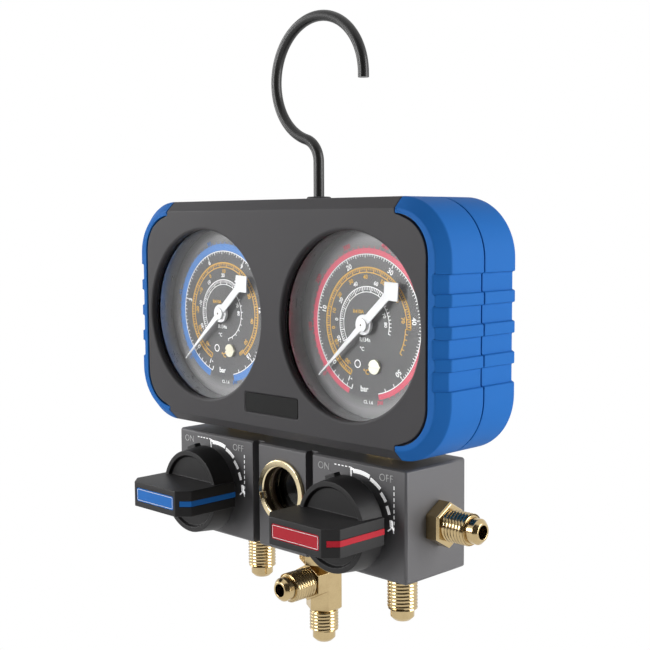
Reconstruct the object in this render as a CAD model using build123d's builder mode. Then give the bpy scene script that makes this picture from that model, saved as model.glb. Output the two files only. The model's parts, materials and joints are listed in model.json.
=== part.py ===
from build123d import *
from math import acos, asin, atan2, cos, degrees, pi, radians, sin, sqrt, tan
import os

os.makedirs("parts", exist_ok=True)

# Lengths in millimetres, angles in degrees. The origin is where the hook bears on what it hangs
# from, on the hook's swivel axis. +Z is up and the dials face -Y. A "depth" is measured back from
# the housing's front face, and a "low" or "high" piece belongs to that side's gauge or valve.

# Clearances
running_gap = 0.05
seat_gap = 0.1
knob_gap = 4.4

# Hook: a round bow, a reverse bend and a straight stem, all of one wire
wire_radius = 2.0
bow_radius = 22.8
neck_radius = 9.0
stem_rise = 14.0
bow_end_drop = 1.5
swivel_setback = 4.8
bush_wall = 1.3
bush_flange_width = 1.3
bush_flange_height = 1.2
bush_fillet = 0.8
clip_thickness = 1.2
clip_ring_width = 2.4
clip_groove_depth = 0.4
stem_tail = 2.5

# Gauge cases, bezels and lenses
case_radius = 34.0
case_wall = 1.2
case_depth = 28.0
bezel_wall = 1.0
bezel_cover = 1.6
bezel_height = 6.0
bezel_lip = 0.8
lens_thickness = 1.8
dial_recess = 6.1
dial_thickness = 0.8
gauge_thread_radius = 5.0
gauge_thread_length = 9.0
gauge_bore_radius = 1.5
socket_width = 12.0
socket_thickness = 6.4
socket_flats = 12.0
stem_clearance = 0.2

# Housing, wrapped round the two gauge cases
case_spacing = 8.0
side_margin = 8.6
top_margin = 9.4
rear_room = 5.2
corner_radius = 20.6
edge_chamfer = 3.8
wall = 2.6
opening_chamfer = 0.7
bumper_reach = 20.8
bumper_thickness = 3.2
bumper_lip = 1.6
panel_margin = 6.9
panel_margin_top = 5.5
panel_corner_radius = 14.0
rib_pitch = 10.3
rib_height = 4.1
rib_depth = 1.1
grip_recesses = 4
boss_radius = 4.2
boss_margin_x = 6.7
boss_margin_z = 7.1
screw_radius = 1.5
screw_head_radius = 3.1
screw_head_height = 2.2
screw_engagement = 11.0
screw_end_gap = 1.0
badge_width = 28.4
badge_height = 7.5
badge_drop = 31.0
badge_depth = 0.7
badge_corner = 0.8

# Gauge movement
tube_clearance = 11.0
tube_width = 5.6
tube_depth = 2.4
tube_wall = 0.4
tube_start = 255.0
tube_sweep = 283.0
tube_grip = 2.0
tooth_module = 0.4
pinion_teeth = 8
sector_teeth = 56
pressure_angle = 20.0
backlash = 0.08
sector_addendum = 0.8
pinion_addendum = 0.9
dedendum = 1.3
pointer_travel = 270.0
arbor_radius = 0.6
arbor_bearing_radius = 0.66
plate_thickness = 1.2
plate_width = 14.0
plate_top = 4.6
plate_edge = 1.4
rear_plate_thickness = 1.0
rear_plate_lap = 4.2
movement_standoff = 1.3
sector_front_gap = 1.3
sector_rear_gap = 1.7
pillar_radius = 1.1
pillar_edge = 0.45
sector_thickness = 1.2
sector_hub_radius = 2.0
sector_rim = 1.8
sector_hub_wall = 1.6
tail_length = 5.0
link_length = 14.6
link_thickness = 0.7
link_width = 2.2
rivet_radius = 0.45
rivet_gap = 0.3
lug_thickness = 0.8
pointer_lift = 2.8
pointer_end_gap = 4.3
pointer_width = 2.3
pointer_tip_width = 0.4
pointer_bar_width = 3.0
pointer_plate = 6.2
pointer_tail = 22.2
pointer_rest_angle = 222.0
pointer_thickness = 0.5
pointer_hub_radius = 2.3
pointer_hub_height = 2.6
pointer_boss_radius = 3.5
pointer_boss_height = 1.2
zero_screw_radius = 2.5
zero_screw_head = 1.0
zero_screw_slot = 0.6
zero_screw_x = 3.8
zero_screw_drop = 14.4
zero_screw_shank = 1.0

# Sight glass
sight_rise = 3.8
sight_thread_radius = 10.8
sight_flange_width = 1.2
sight_flange = 1.2
sight_flange_bevel = 0.4
sight_wall = 1.6
sight_thread_length = 9.0
sight_glass_thickness = 4.0
sight_glass_lap = 0.8
sight_seal_thickness = 1.2
sight_chamber_radius = 7.0
notch_width = 1.6
notch_depth = 0.7

# Manifold block
block_end = 22.4
block_front_depth = 5.3
block_gap = 3.7
block_chamfer = 0.8
groove_gap = 0.6
groove_width = 3.6
groove_depth = 1.0
valve_depth = 17.1
valve_drop = 20.5
valve_rise = 18.6
gallery_radius = 2.6
passage_radius = 2.3
passage_lap = 0.5

# Quarter-turn valves
ball_radius = 6.5
chamber_clearance = 0.7
seat_ring_width = 1.8
seat_ring_length = 3.0
valve_stem_radius = 3.6
tang_width = 3.0
tang_length = 2.6
tang_span = 6.4
gland_wall = 1.8
gland_face = 0.6
spanner_hole_radius = 1.0
spanner_hole_depth = 2.0
shoulder_width = 1.8
shoulder_thickness = 2.2
shoulder_clearance = 1.0
stem_flat_cut = 1.2
seal_thickness = 1.4

# Knobs
knob_length = 25.5
knob_skirt = 8.9
knob_rear_radius = 16.6
knob_taper = 0.9
knob_rim_width = 2.4
knob_dish = 1.3
knob_dish_bevel = 0.5
knob_web = 3.1
knob_shell = 2.4
grip_overhang = 1.0
grip_thickness = 9.6
grip_chamfer = 4.3
lug_angle = 111.0
lug_width = 5.0
lug_reach = 0.9
lug_length = 3.0
hub_wall = 4.0
stem_engagement = 10.4
stripe_height = 2.0
stripe_inlay = 0.5
stripe_start = 1.2
knob_badge_width = 22.4
knob_badge_height = 5.2
knob_badge_thickness = 0.8
knob_screw_radius = 1.5
knob_screw_head_radius = 2.3
knob_screw_head = 1.6
knob_screw_length = 8.0
knob_screw_end_gap = 1.0

# Flare ports, 1/4 inch SAE with a 7/16-20 UNF thread
flare_thread_radius = 5.55
flare_thread_depth = 0.6
flare_nose_step = 0.55
flare_cone = 1.3
flare_nose_length = 4.4
flare_bore_radius = 2.4
shank_radius = 5.0
shank_length = 8.0
port_hex_chamfer = 0.7
port_rear_wall = 3.1
bottom_port_hex = 12.0
bottom_port_hex_length = 5.5
bottom_port_thread = 12.5
side_port_hex = 14.0
side_port_hex_length = 5.3
side_port_thread = 9.1
tee_set_forward = 2.3
tee_flats = 12.3
tee_collar_flats = 17.0
tee_collar_length = 8.0
tee_hex_length = 26.6
tee_down_thread = 8.2
tee_arm_drop = 14.6
tee_arm_reach = 9.0
tee_arm_thread = 9.8

# Radii and widths that follow from the sizes above
bush_barrel_radius = wire_radius + bush_wall
bush_flange_radius = bush_barrel_radius + bush_flange_width
clip_radius = wire_radius + clip_ring_width
opening_radius = case_radius - bezel_cover
bezel_radius = case_radius + bezel_wall
tube_radius = case_radius - tube_clearance
pointer_length = case_radius - case_wall - pointer_end_gap
support_ring_radius = case_radius - 2 * wall
gauge_spacing = 2 * case_radius + case_spacing
housing_width = gauge_spacing + 2 * (case_radius + side_margin)
housing_height = 2 * (case_radius + top_margin)
bumper_inner_x = housing_width / 2 - bumper_reach
boss_inset_x = panel_margin + boss_margin_x
boss_inset_z = panel_margin_top + boss_margin_z
stem_hole_radius = socket_flats * sqrt(2) / 2 + stem_clearance
block_width = gauge_spacing + 2 * block_end
block_height = valve_drop + valve_rise
sight_ring_radius = sight_thread_radius + sight_flange_width
sight_window_radius = sight_thread_radius - sight_wall
groove_x = sight_ring_radius + groove_gap + groove_width / 2
chamber_radius = ball_radius + chamber_clearance
seat_ring_radius = gallery_radius + seat_ring_width
seat_reach = ball_radius + seat_ring_length
gland_radius = chamber_radius + gland_wall
shoulder_radius = valve_stem_radius + shoulder_width
stem_flat = valve_stem_radius - stem_flat_cut
hub_radius = valve_stem_radius + hub_wall
knob_rim_radius = knob_rear_radius - knob_taper
knob_dish_radius = knob_rim_radius - knob_rim_width
grip_half = knob_rim_radius + grip_overhang
flare_root_radius = flare_thread_radius - flare_thread_depth
flare_nose_radius = flare_root_radius - flare_nose_step
flare_tip_radius = flare_nose_radius - flare_cone

# Depths behind the housing's front face
lens_depth = wall + bezel_lip
case_front_depth = lens_depth + lens_thickness
case_back_depth = case_front_depth + case_depth
housing_depth = case_back_depth + wall + rear_room
half_depth = housing_depth / 2
swivel_depth = half_depth + swivel_setback
dial_depth = case_front_depth + dial_recess
pointer_depth = dial_depth - pointer_lift
front_plate_depth = dial_depth + dial_thickness + movement_standoff
sector_depth = front_plate_depth + plate_thickness + sector_front_gap
link_depth = sector_depth + sector_thickness + rivet_gap
lug_depth = link_depth + link_thickness + rivet_gap
rear_plate_depth = sector_depth + sector_thickness + sector_rear_gap
rear_plate_back = rear_plate_depth + rear_plate_thickness
socket_depth = rear_plate_back + socket_thickness / 2
ball_depth = block_front_depth + valve_depth
bottom_port_depth = ball_depth + chamber_radius - passage_lap
block_depth = bottom_port_depth + shank_radius + port_rear_wall - block_front_depth
tee_depth = bottom_port_depth - tee_set_forward
chamber_back = ball_depth + chamber_radius
thread_mouth = ball_depth - ball_radius - shoulder_thickness - shoulder_clearance
gland_length = thread_mouth - block_front_depth + gland_face
sight_bore_depth = block_front_depth + sight_thread_length + sight_seal_thickness
sight_chamber_depth = tee_depth + passage_radius
knob_rear_depth = block_front_depth - knob_gap
knob_front_depth = knob_rear_depth - knob_length
knob_rim_depth = knob_rear_depth - knob_skirt
knob_face_depth = knob_rim_depth + knob_dish
knob_hollow_depth = knob_face_depth + knob_web
stem_front_depth = knob_hollow_depth - stem_engagement

# Places from the origin
bow_z = wire_radius - bow_radius
neck_z = bow_z - sqrt((bow_radius + neck_radius) ** 2 - neck_radius**2)
housing_top = neck_z - stem_rise
gauge_z = housing_top - housing_height / 2
housing_bottom = housing_top - housing_height
front_y = -swivel_depth
seam_y = front_y + half_depth
block_top = housing_bottom - block_gap
valve_z = block_top - valve_drop
block_bottom = valve_z - valve_rise
sight_z = valve_z + sight_rise
gauge_x = gauge_spacing / 2
ball_y = front_y + ball_depth
socket_y = front_y + socket_depth
socket_top = tube_grip - tube_radius


def facing_front(x, depth, z):
    """A plane parallel to the front face, at a depth behind it, looking forwards."""
    return Plane(origin=(x, front_y + depth, z), x_dir=(1, 0, 0), z_dir=(0, -1, 0))


def beside_axis(seat):
    """The plane through a seat's own axis: x runs outwards, y runs along the axis."""
    return Plane(origin=seat.origin, x_dir=seat.x_dir, z_dir=-seat.y_dir)


front_half = Plane(origin=(0, seam_y, gauge_z), x_dir=(1, 0, 0), z_dir=(0, -1, 0))
rear_half = Plane(origin=(0, seam_y, gauge_z), x_dir=(-1, 0, 0), z_dir=(0, 1, 0))


# ---------------------------------------------------------------- housing forms
def housing_envelope(half):
    """One half of the housing as a chamfered block, from the seam to its face."""
    with BuildPart() as envelope:
        with BuildSketch(half):
            RectangleRounded(housing_width, housing_height, corner_radius)
        extrude(amount=half_depth)
        outer_face = envelope.faces().sort_by(Axis(half.origin, half.z_dir))[-1]
        chamfer(outer_face.edges(), edge_chamfer)
    return envelope.part


def housing_core(half):
    """What the bumpers wrap: the walls under them and the panel inside their lips."""
    with BuildPart() as core:
        with BuildSketch(half):
            RectangleRounded(
                housing_width - 2 * bumper_thickness,
                housing_height - 2 * bumper_thickness,
                corner_radius - bumper_thickness,
            )
        extrude(amount=half_depth - bumper_lip)
        ledge = core.faces().sort_by(Axis(half.origin, half.z_dir))[-1]
        chamfer(ledge.edges(), bumper_lip)
        with BuildSketch(half):
            RectangleRounded(
                housing_width - 2 * panel_margin,
                housing_height - 2 * panel_margin_top,
                panel_corner_radius,
            )
        extrude(amount=half_depth)
    return core.part


def end_block(half, sign):
    """One end of the housing, outside the bumper's inner edge."""
    end_width = housing_width / 2 - bumper_inner_x
    with BuildPart() as end:
        with BuildSketch(half):
            with Locations((sign * (bumper_inner_x + end_width / 2), 0)):
                Rectangle(end_width, housing_height)
        extrude(amount=half_depth)
    return end.part


def boss_places():
    """The four screw places, from the middle of the housing."""
    width = housing_width - 2 * boss_inset_x
    height = housing_height - 2 * boss_inset_z
    return GridLocations(width, height, 2, 2)


def hollow_cover(half):
    """One cover's shell: drawn in under the bumpers, hollow, with its screw bosses."""
    envelope = housing_envelope(half)
    core = housing_core(half)
    ends = [end_block(half, sign) for sign in (-1, 1)]
    inset = bumper_thickness + wall
    with BuildPart() as cover:
        add(envelope)
        add(ends, mode=Mode.SUBTRACT)
        add(core)
        with BuildSketch(half):
            RectangleRounded(
                housing_width - 2 * inset, housing_height - 2 * inset, corner_radius - inset
            )
        extrude(amount=half_depth - wall, mode=Mode.SUBTRACT)
        with BuildSketch(half):
            with boss_places():
                Circle(boss_radius)
        extrude(amount=half_depth - wall)
        with BuildSketch(Plane.XY.offset(housing_bottom)):
            with Locations((-gauge_x, socket_y), (gauge_x, socket_y)):
                Circle(stem_hole_radius)
        extrude(amount=inset, mode=Mode.SUBTRACT)
    return cover.part


# ---------------------------------------------------------------- front cover
front_shell = hollow_cover(front_half)
with BuildPart() as front_cover:
    add(front_shell)
    with BuildSketch(facing_front(0, 0, gauge_z)):
        with GridLocations(gauge_spacing, 0, 2, 1):
            Circle(opening_radius)
    extrude(amount=-wall, mode=Mode.SUBTRACT)
    rims = front_cover.edges().filter_by(GeomType.CIRCLE)
    rims = rims.filter_by(lambda rim: abs(rim.radius - opening_radius) < seat_gap)
    chamfer(rims.group_by(Axis.Y)[0], opening_chamfer)
    with BuildSketch(facing_front(0, 0, gauge_z - badge_drop)):
        RectangleRounded(badge_width, badge_height, badge_corner)
    extrude(amount=-badge_depth, mode=Mode.SUBTRACT)
    with BuildSketch(front_half):
        with boss_places():
            Circle(screw_radius)
    extrude(amount=screw_engagement, mode=Mode.SUBTRACT)
front_cover.part.label = "front_cover"
export_step(front_cover.part, "parts/front_cover.step")

# ---------------------------------------------------------------- rear cover
rear_shell = hollow_cover(rear_half)
with BuildPart() as rear_cover:
    add(rear_shell)
    with BuildSketch(facing_front(0, case_back_depth, gauge_z)):
        with GridLocations(gauge_spacing, 0, 2, 1):
            Circle(support_ring_radius)
            Circle(support_ring_radius - wall, mode=Mode.SUBTRACT)
    extrude(amount=case_back_depth + wall - housing_depth)
    with BuildSketch(facing_front(0, housing_depth, gauge_z)):
        with boss_places():
            Circle(screw_head_radius + seat_gap)
    extrude(amount=screw_head_height, mode=Mode.SUBTRACT)
    with BuildSketch(facing_front(0, housing_depth, gauge_z)):
        with boss_places():
            Circle(screw_radius + seat_gap)
    extrude(amount=half_depth, mode=Mode.SUBTRACT)
    with BuildSketch(Plane.XY.offset(housing_top)):
        Circle(bush_barrel_radius)
    extrude(amount=-bumper_thickness - wall, mode=Mode.SUBTRACT)
rear_cover.part.label = "rear_cover"
export_step(rear_cover.part, "parts/rear_cover.step")


# ---------------------------------------------------------------- bumpers
def grip_cutter(half, sign):
    """The recesses between a bumper's ribs: bands cut in to the rib depth."""
    outer = housing_width / 2
    band = rib_pitch - rib_height
    across = Plane(origin=half.origin, x_dir=half.x_dir, z_dir=-half.y_dir)
    with BuildPart() as cutter:
        for index in range(grip_recesses):
            middle = (index - (grip_recesses - 1) / 2) * rib_pitch
            with BuildSketch(across.offset(-middle - band / 2)):
                with BuildLine():
                    Polyline(
                        (sign * (outer - rib_depth), 0),
                        (sign * (outer - rib_depth), half_depth - edge_chamfer),
                        (sign * (outer - rib_depth - edge_chamfer), half_depth),
                        (sign * (outer + rib_depth), half_depth),
                        (sign * (outer + rib_depth), 0),
                        close=True,
                    )
                make_face()
            extrude(amount=band)
    return cutter.part


for half_name, half in (("front", front_half), ("rear", rear_half)):
    for side_name, side in (("left", -1), ("right", 1)):
        local_side = side * half.x_dir.X
        envelope = housing_envelope(half)
        core = housing_core(half)
        end = end_block(half, local_side)
        recesses = grip_cutter(half, local_side)
        with BuildPart() as bumper:
            add(envelope)
            add(end, mode=Mode.INTERSECT)
            add(core, mode=Mode.SUBTRACT)
            add(recesses, mode=Mode.SUBTRACT)
        bumper.part.label = f"{half_name}_bumper_{side_name}"
        export_step(bumper.part, f"parts/{half_name}_bumper_{side_name}.step")

# ---------------------------------------------------------------- cover screws
with BuildPart() as cover_screws:
    with BuildSketch(facing_front(0, housing_depth - screw_head_height, gauge_z)):
        with boss_places():
            Circle(screw_head_radius)
    extrude(amount=-screw_head_height + seat_gap)
    with BuildSketch(facing_front(0, housing_depth - screw_head_height, gauge_z)):
        with boss_places():
            Circle(screw_radius)
    extrude(amount=half_depth - screw_head_height + screw_engagement - screw_end_gap)
cover_screws.part.label = "cover_screws"
export_step(cover_screws.part, "parts/cover_screws.step")

# ---------------------------------------------------------------- hook
meeting_angle = degrees(atan2(neck_z - bow_z, -neck_radius))
bush_bottom = housing_top - bumper_thickness - wall
clip_top = bush_bottom - seat_gap
stem_end = clip_top - clip_thickness - stem_tail
bush_top = housing_top + bush_flange_height

with BuildPart() as hook:
    with BuildLine(Plane.XZ):
        Line((0, stem_end), (0, neck_z))
        CenterArc((-neck_radius, neck_z), neck_radius, 0, meeting_angle + 180)
        CenterArc((0, bow_z), bow_radius, meeting_angle, -360 - meeting_angle)
        Line((bow_radius, bow_z), (bow_radius, bow_z - bow_end_drop))
    with BuildSketch(Plane.XY.offset(stem_end)):
        Circle(wire_radius)
    sweep()
    with BuildSketch(Plane.XY.offset(clip_top)):
        Circle(wire_radius)
        Circle(wire_radius - clip_groove_depth, mode=Mode.SUBTRACT)
    extrude(amount=-clip_thickness, mode=Mode.SUBTRACT)
hook.part.label = "hook"
export_step(hook.part, "parts/hook.step")

with BuildPart() as hook_clip:
    with BuildSketch(Plane.XY.offset(clip_top)):
        Circle(clip_radius)
        Circle(wire_radius - clip_groove_depth, mode=Mode.SUBTRACT)
    extrude(amount=-clip_thickness)
hook_clip.part.label = "hook_clip"
export_step(hook_clip.part, "parts/hook_clip.step")

with BuildPart() as hook_bush:
    with BuildSketch(Plane.XY.offset(bush_bottom)):
        Circle(bush_barrel_radius)
    extrude(amount=bush_top - bush_bottom)
    with BuildSketch(Plane.XY.offset(housing_top)):
        Circle(bush_flange_radius)
    extrude(amount=bush_flange_height)
    fillet(hook_bush.edges().group_by(Axis.Z)[-1], bush_fillet)
    with BuildSketch(Plane.XY.offset(bush_bottom)):
        Circle(wire_radius + running_gap)
    extrude(amount=bush_top - bush_bottom, mode=Mode.SUBTRACT)
hook_bush.part.label = "hook_bush"
export_step(hook_bush.part, "parts/hook_bush.step")


# ---------------------------------------------------------------- gauge teeth
def involute(angle):
    """The involute function of a pressure angle in radians."""
    return tan(angle) - angle


def half_tooth_angle(radius, teeth):
    """Half of a tooth's width at a radius, in radians about the wheel's axis."""
    pitch_radius = tooth_module * teeth / 2
    base_radius = pitch_radius * cos(radians(pressure_angle))
    half_pitch_width = (pi * tooth_module / 2 - backlash) / 2 / pitch_radius
    reach = max(radius, base_radius)
    here = acos(base_radius / reach)
    return half_pitch_width + involute(radians(pressure_angle)) - involute(here)


def tooth_points(teeth, middle, root_radius, tip_radius):
    """One tooth's outline as seen from the front, clockwise edge last."""
    steps = [root_radius + (tip_radius - root_radius) * step / 4 for step in range(5)]
    rising = [(r, middle - half_tooth_angle(r, teeth)) for r in steps]
    falling = [(r, middle + half_tooth_angle(r, teeth)) for r in reversed(steps)]
    return [(r * cos(angle), r * sin(angle)) for r, angle in rising + falling]


gear_ratio = sector_teeth / pinion_teeth
sector_swing = pointer_travel / gear_ratio
pinion_pitch_radius = tooth_module * pinion_teeth / 2
sector_pitch_radius = tooth_module * sector_teeth / 2
pivot_drop = pinion_pitch_radius + sector_pitch_radius
tooth_pitch = 360 / sector_teeth
teeth_in_use = round(sector_swing / tooth_pitch) + 3
tail_angle = 270 - sector_swing / 2
tail_x = tail_length * cos(radians(tail_angle))
tail_z = tail_length * sin(radians(tail_angle)) - pivot_drop
rivet_end_depth = lug_depth + lug_thickness + seat_gap
rivet_travel = 2 * tail_length * sin(radians(sector_swing / 2))
rivet_sag = tail_length * (1 - cos(radians(sector_swing / 2)))
slot_radius = rivet_radius + rivet_sag + seat_gap
tube_end = tube_start - tube_sweep

for side, side_x in (("low", -gauge_x), ("high", gauge_x)):
    face = facing_front(side_x, 0, gauge_z)

    # The case is a cup with a square hole underneath for the socket.
    with BuildPart() as gauge_case:
        with BuildSketch(face.offset(-case_front_depth)):
            Circle(case_radius)
        extrude(amount=-case_depth)
        with BuildSketch(face.offset(-case_front_depth)):
            Circle(case_radius - case_wall)
        extrude(amount=case_wall - case_depth, mode=Mode.SUBTRACT)
        with BuildSketch(Plane.XY.offset(gauge_z - case_radius)):
            with Locations((side_x, socket_y)):
                Rectangle(socket_flats + 2 * seat_gap, socket_flats + 2 * seat_gap)
        extrude(amount=case_radius / 2, mode=Mode.SUBTRACT)
    gauge_case.part.label = f"{side}_gauge_case"
    export_step(gauge_case.part, f"parts/{side}_gauge_case.step")

    # The bezel is snapped over the case's mouth and holds the lens against it.
    with BuildPart() as bezel:
        with BuildSketch(face.offset(-wall)):
            Circle(bezel_radius)
            Circle(opening_radius + seat_gap, mode=Mode.SUBTRACT)
        extrude(amount=-bezel_height)
        with BuildSketch(face.offset(-lens_depth)):
            Circle(case_radius + seat_gap / 2)
        extrude(amount=-bezel_height, mode=Mode.SUBTRACT)
    bezel.part.label = f"{side}_bezel"
    export_step(bezel.part, f"parts/{side}_bezel.step")

    with BuildPart() as lens:
        with BuildSketch(face.offset(-lens_depth)):
            Circle(case_radius)
        extrude(amount=-lens_thickness)
    lens.part.label = f"{side}_lens"
    export_step(lens.part, f"parts/{side}_lens.step")

    with BuildPart() as dial:
        with BuildSketch(face.offset(-dial_depth)):
            Circle(case_radius - case_wall - seat_gap)
            Circle(2 * arbor_radius, mode=Mode.SUBTRACT)
            with Locations((zero_screw_x, -zero_screw_drop)):
                Circle(zero_screw_shank + running_gap, mode=Mode.SUBTRACT)
        extrude(amount=-dial_thickness)
    dial.part.label = f"{side}_dial"
    export_step(dial.part, f"parts/{side}_dial.step")

    # The flattened tube is bent round most of a circle, from the socket to its tip.
    profile_plane = Plane(
        origin=face.origin,
        x_dir=(cos(radians(tube_end)), 0, sin(radians(tube_end))),
        z_dir=(-sin(radians(tube_end)), 0, cos(radians(tube_end))),
    )
    tube_place = (tube_radius, socket_depth)
    with BuildPart() as tube_blank:
        with BuildSketch(profile_plane):
            with Locations(tube_place):
                RectangleRounded(tube_depth, tube_width, tube_depth / 2 - running_gap)
        revolve(axis=Axis(face.origin, (0, -1, 0)), revolution_arc=tube_sweep)
    with BuildPart() as bourdon_tube:
        add(tube_blank.part)
        with BuildSketch(profile_plane):
            with Locations(tube_place):
                RectangleRounded(
                    tube_depth - 2 * tube_wall,
                    tube_width - 2 * tube_wall,
                    tube_depth / 2 - tube_wall - running_gap,
                )
        revolve(
            axis=Axis(face.origin, (0, -1, 0)), revolution_arc=tube_sweep, mode=Mode.SUBTRACT
        )
        # The tip closes the tube's end and carries a slotted lug for the link.
        tip_x = tube_radius * cos(radians(tube_end))
        tip_z = tube_radius * sin(radians(tube_end))
        lug_x = tail_x + link_length + rivet_travel / 2
        with BuildSketch(face.offset(-lug_depth)):
            with Locations(Location((tip_x, tip_z), tube_end)):
                Rectangle(tube_depth + 2 * tube_wall, 3 * tube_depth)
        extrude(amount=lug_depth - socket_depth - tube_width / 2 - tube_wall)
        with BuildSketch(face.offset(-lug_depth)):
            with Locations((lug_x, tail_z - rivet_sag / 2)):
                SlotCenterToCenter(rivet_travel + slot_radius, 4 * slot_radius)
            with BuildLine():
                Line((lug_x, tail_z), (tip_x, tip_z))
            trace(line_width=tube_depth)
            with Locations((lug_x, tail_z - rivet_sag / 2)):
                SlotCenterToCenter(rivet_travel, 2 * slot_radius, mode=Mode.SUBTRACT)
        extrude(amount=-lug_thickness)
    bourdon_tube.part.label = f"{side}_bourdon_tube"
    export_step(bourdon_tube.part, f"parts/{side}_bourdon_tube.step")

    # The socket holds the tube's root and screws into the manifold block.
    with BuildPart() as socket:
        with BuildSketch(Plane.XY.offset(gauge_z + socket_top)):
            with Locations((side_x, socket_y)):
                Rectangle(socket_width, socket_thickness)
        extrude(amount=-socket_top - case_radius)
        with BuildSketch(Plane.XY.offset(gauge_z - case_radius + 2 * case_wall)):
            with Locations((side_x, socket_y)):
                Rectangle(socket_flats, socket_flats)
        extrude(amount=block_top - gauge_z + case_radius - 2 * case_wall)
        with BuildSketch(Plane.XY.offset(block_top)):
            with Locations((side_x, socket_y)):
                Circle(gauge_thread_radius)
        extrude(amount=-gauge_thread_length)
        with BuildSketch(Plane.XY.offset(block_top - gauge_thread_length)):
            with Locations((side_x, socket_y)):
                Circle(gauge_bore_radius)
        extrude(amount=gauge_z - tube_radius - block_top + gauge_thread_length, mode=Mode.SUBTRACT)
        add(tube_blank.part, mode=Mode.SUBTRACT)
    socket.part.label = f"{side}_socket"
    export_step(socket.part, f"parts/{side}_socket.step")

    # The movement frame is two plates on pillars, the rear one screwed to the socket's face.
    pillar_x = plate_width / 2 - pillar_radius - pillar_edge
    pillar_top = plate_top - pillar_radius - pillar_edge
    pillars = [
        (-pillar_x, pillar_top),
        (pillar_x, pillar_top),
        (-pillar_x, -pivot_drop),
        (pillar_x, -pivot_drop),
    ]
    front_plate_foot = -zero_screw_drop - zero_screw_shank - plate_edge
    rear_plate_foot = socket_top - rear_plate_lap
    with BuildPart() as movement_frame:
        with BuildSketch(face.offset(-front_plate_depth)):
            with Locations((0, (plate_top + front_plate_foot) / 2)):
                RectangleRounded(plate_width, plate_top - front_plate_foot, 2 * pillar_radius)
            Circle(arbor_bearing_radius, mode=Mode.SUBTRACT)
            with Locations((0, -pivot_drop)):
                Circle(arbor_bearing_radius, mode=Mode.SUBTRACT)
            with Locations((zero_screw_x, -zero_screw_drop)):
                Circle(zero_screw_shank + running_gap, mode=Mode.SUBTRACT)
        extrude(amount=-plate_thickness)
        with BuildSketch(face.offset(-rear_plate_depth)):
            with Locations((0, (plate_top + rear_plate_foot) / 2)):
                RectangleRounded(plate_width, plate_top - rear_plate_foot, 2 * pillar_radius)
            Circle(arbor_bearing_radius, mode=Mode.SUBTRACT)
            with Locations((0, -pivot_drop)):
                Circle(arbor_bearing_radius, mode=Mode.SUBTRACT)
        extrude(amount=rear_plate_depth - rear_plate_back)
        with BuildSketch(face.offset(-front_plate_depth - plate_thickness)):
            with Locations(pillars):
                Circle(pillar_radius)
        extrude(amount=front_plate_depth + plate_thickness - rear_plate_depth)
    movement_frame.part.label = f"{side}_movement_frame"
    export_step(movement_frame.part, f"parts/{side}_movement_frame.step")

    # The pinion's arbor carries the pointer through the dial.
    pinion_root = pinion_pitch_radius - dedendum * tooth_module
    pinion_tip = pinion_pitch_radius + pinion_addendum * tooth_module
    first_middle = -pi / 2 + pi / pinion_teeth
    with BuildPart() as pinion:
        with BuildSketch(face.offset(-sector_depth + 2 * seat_gap)):
            with BuildLine():
                outline = []
                for tooth in range(pinion_teeth):
                    middle = first_middle + tooth * 2 * pi / pinion_teeth
                    outline += tooth_points(pinion_teeth, middle, pinion_root, pinion_tip)
                Polyline(*outline, close=True)
            make_face()
        extrude(amount=-sector_thickness - 4 * seat_gap)
        with BuildSketch(face.offset(-pointer_depth)):
            Circle(arbor_radius)
        extrude(amount=pointer_depth - rear_plate_back + seat_gap)
    pinion.part.label = f"{side}_pinion"
    export_step(pinion.part, f"parts/{side}_pinion.step")

    # The pointer has a long tapering tip, a square counterweight plate set cornerwise on
    # its tail bar, and a boss pressed on the arbor.
    half_plate = pointer_plate * sqrt(2) / 2
    half_bar = pointer_bar_width / 2
    bar_end = 2 * half_plate - pointer_tail - half_bar
    with BuildPart() as pointer:
        with BuildSketch(face.offset(-pointer_depth)):
            with Locations(Location((0, 0), pointer_rest_angle)):
                Polygon(
                    (pointer_length, pointer_tip_width / 2),
                    (0, pointer_width / 2),
                    (0, half_bar),
                    (bar_end, half_bar),
                    (half_plate - pointer_tail, half_plate),
                    (-pointer_tail, 0),
                    (half_plate - pointer_tail, -half_plate),
                    (bar_end, -half_bar),
                    (0, -half_bar),
                    (0, -pointer_width / 2),
                    (pointer_length, -pointer_tip_width / 2),
                    align=None,
                )
            Circle(pointer_hub_radius)
        extrude(amount=-pointer_thickness)
        with BuildSketch(face.offset(-pointer_depth + pointer_thickness)):
            Circle(pointer_hub_radius)
        extrude(amount=-pointer_hub_height)
        with BuildSketch(face.offset(-pointer_depth - pointer_thickness)):
            Circle(pointer_boss_radius)
        extrude(amount=-pointer_boss_height)
        with BuildSketch(face.offset(-pointer_depth)):
            Circle(arbor_radius)
        extrude(amount=-pointer_hub_height, mode=Mode.SUBTRACT)
    pointer.part.label = f"{side}_pointer"
    export_step(pointer.part, f"parts/{side}_pointer.step")

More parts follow.
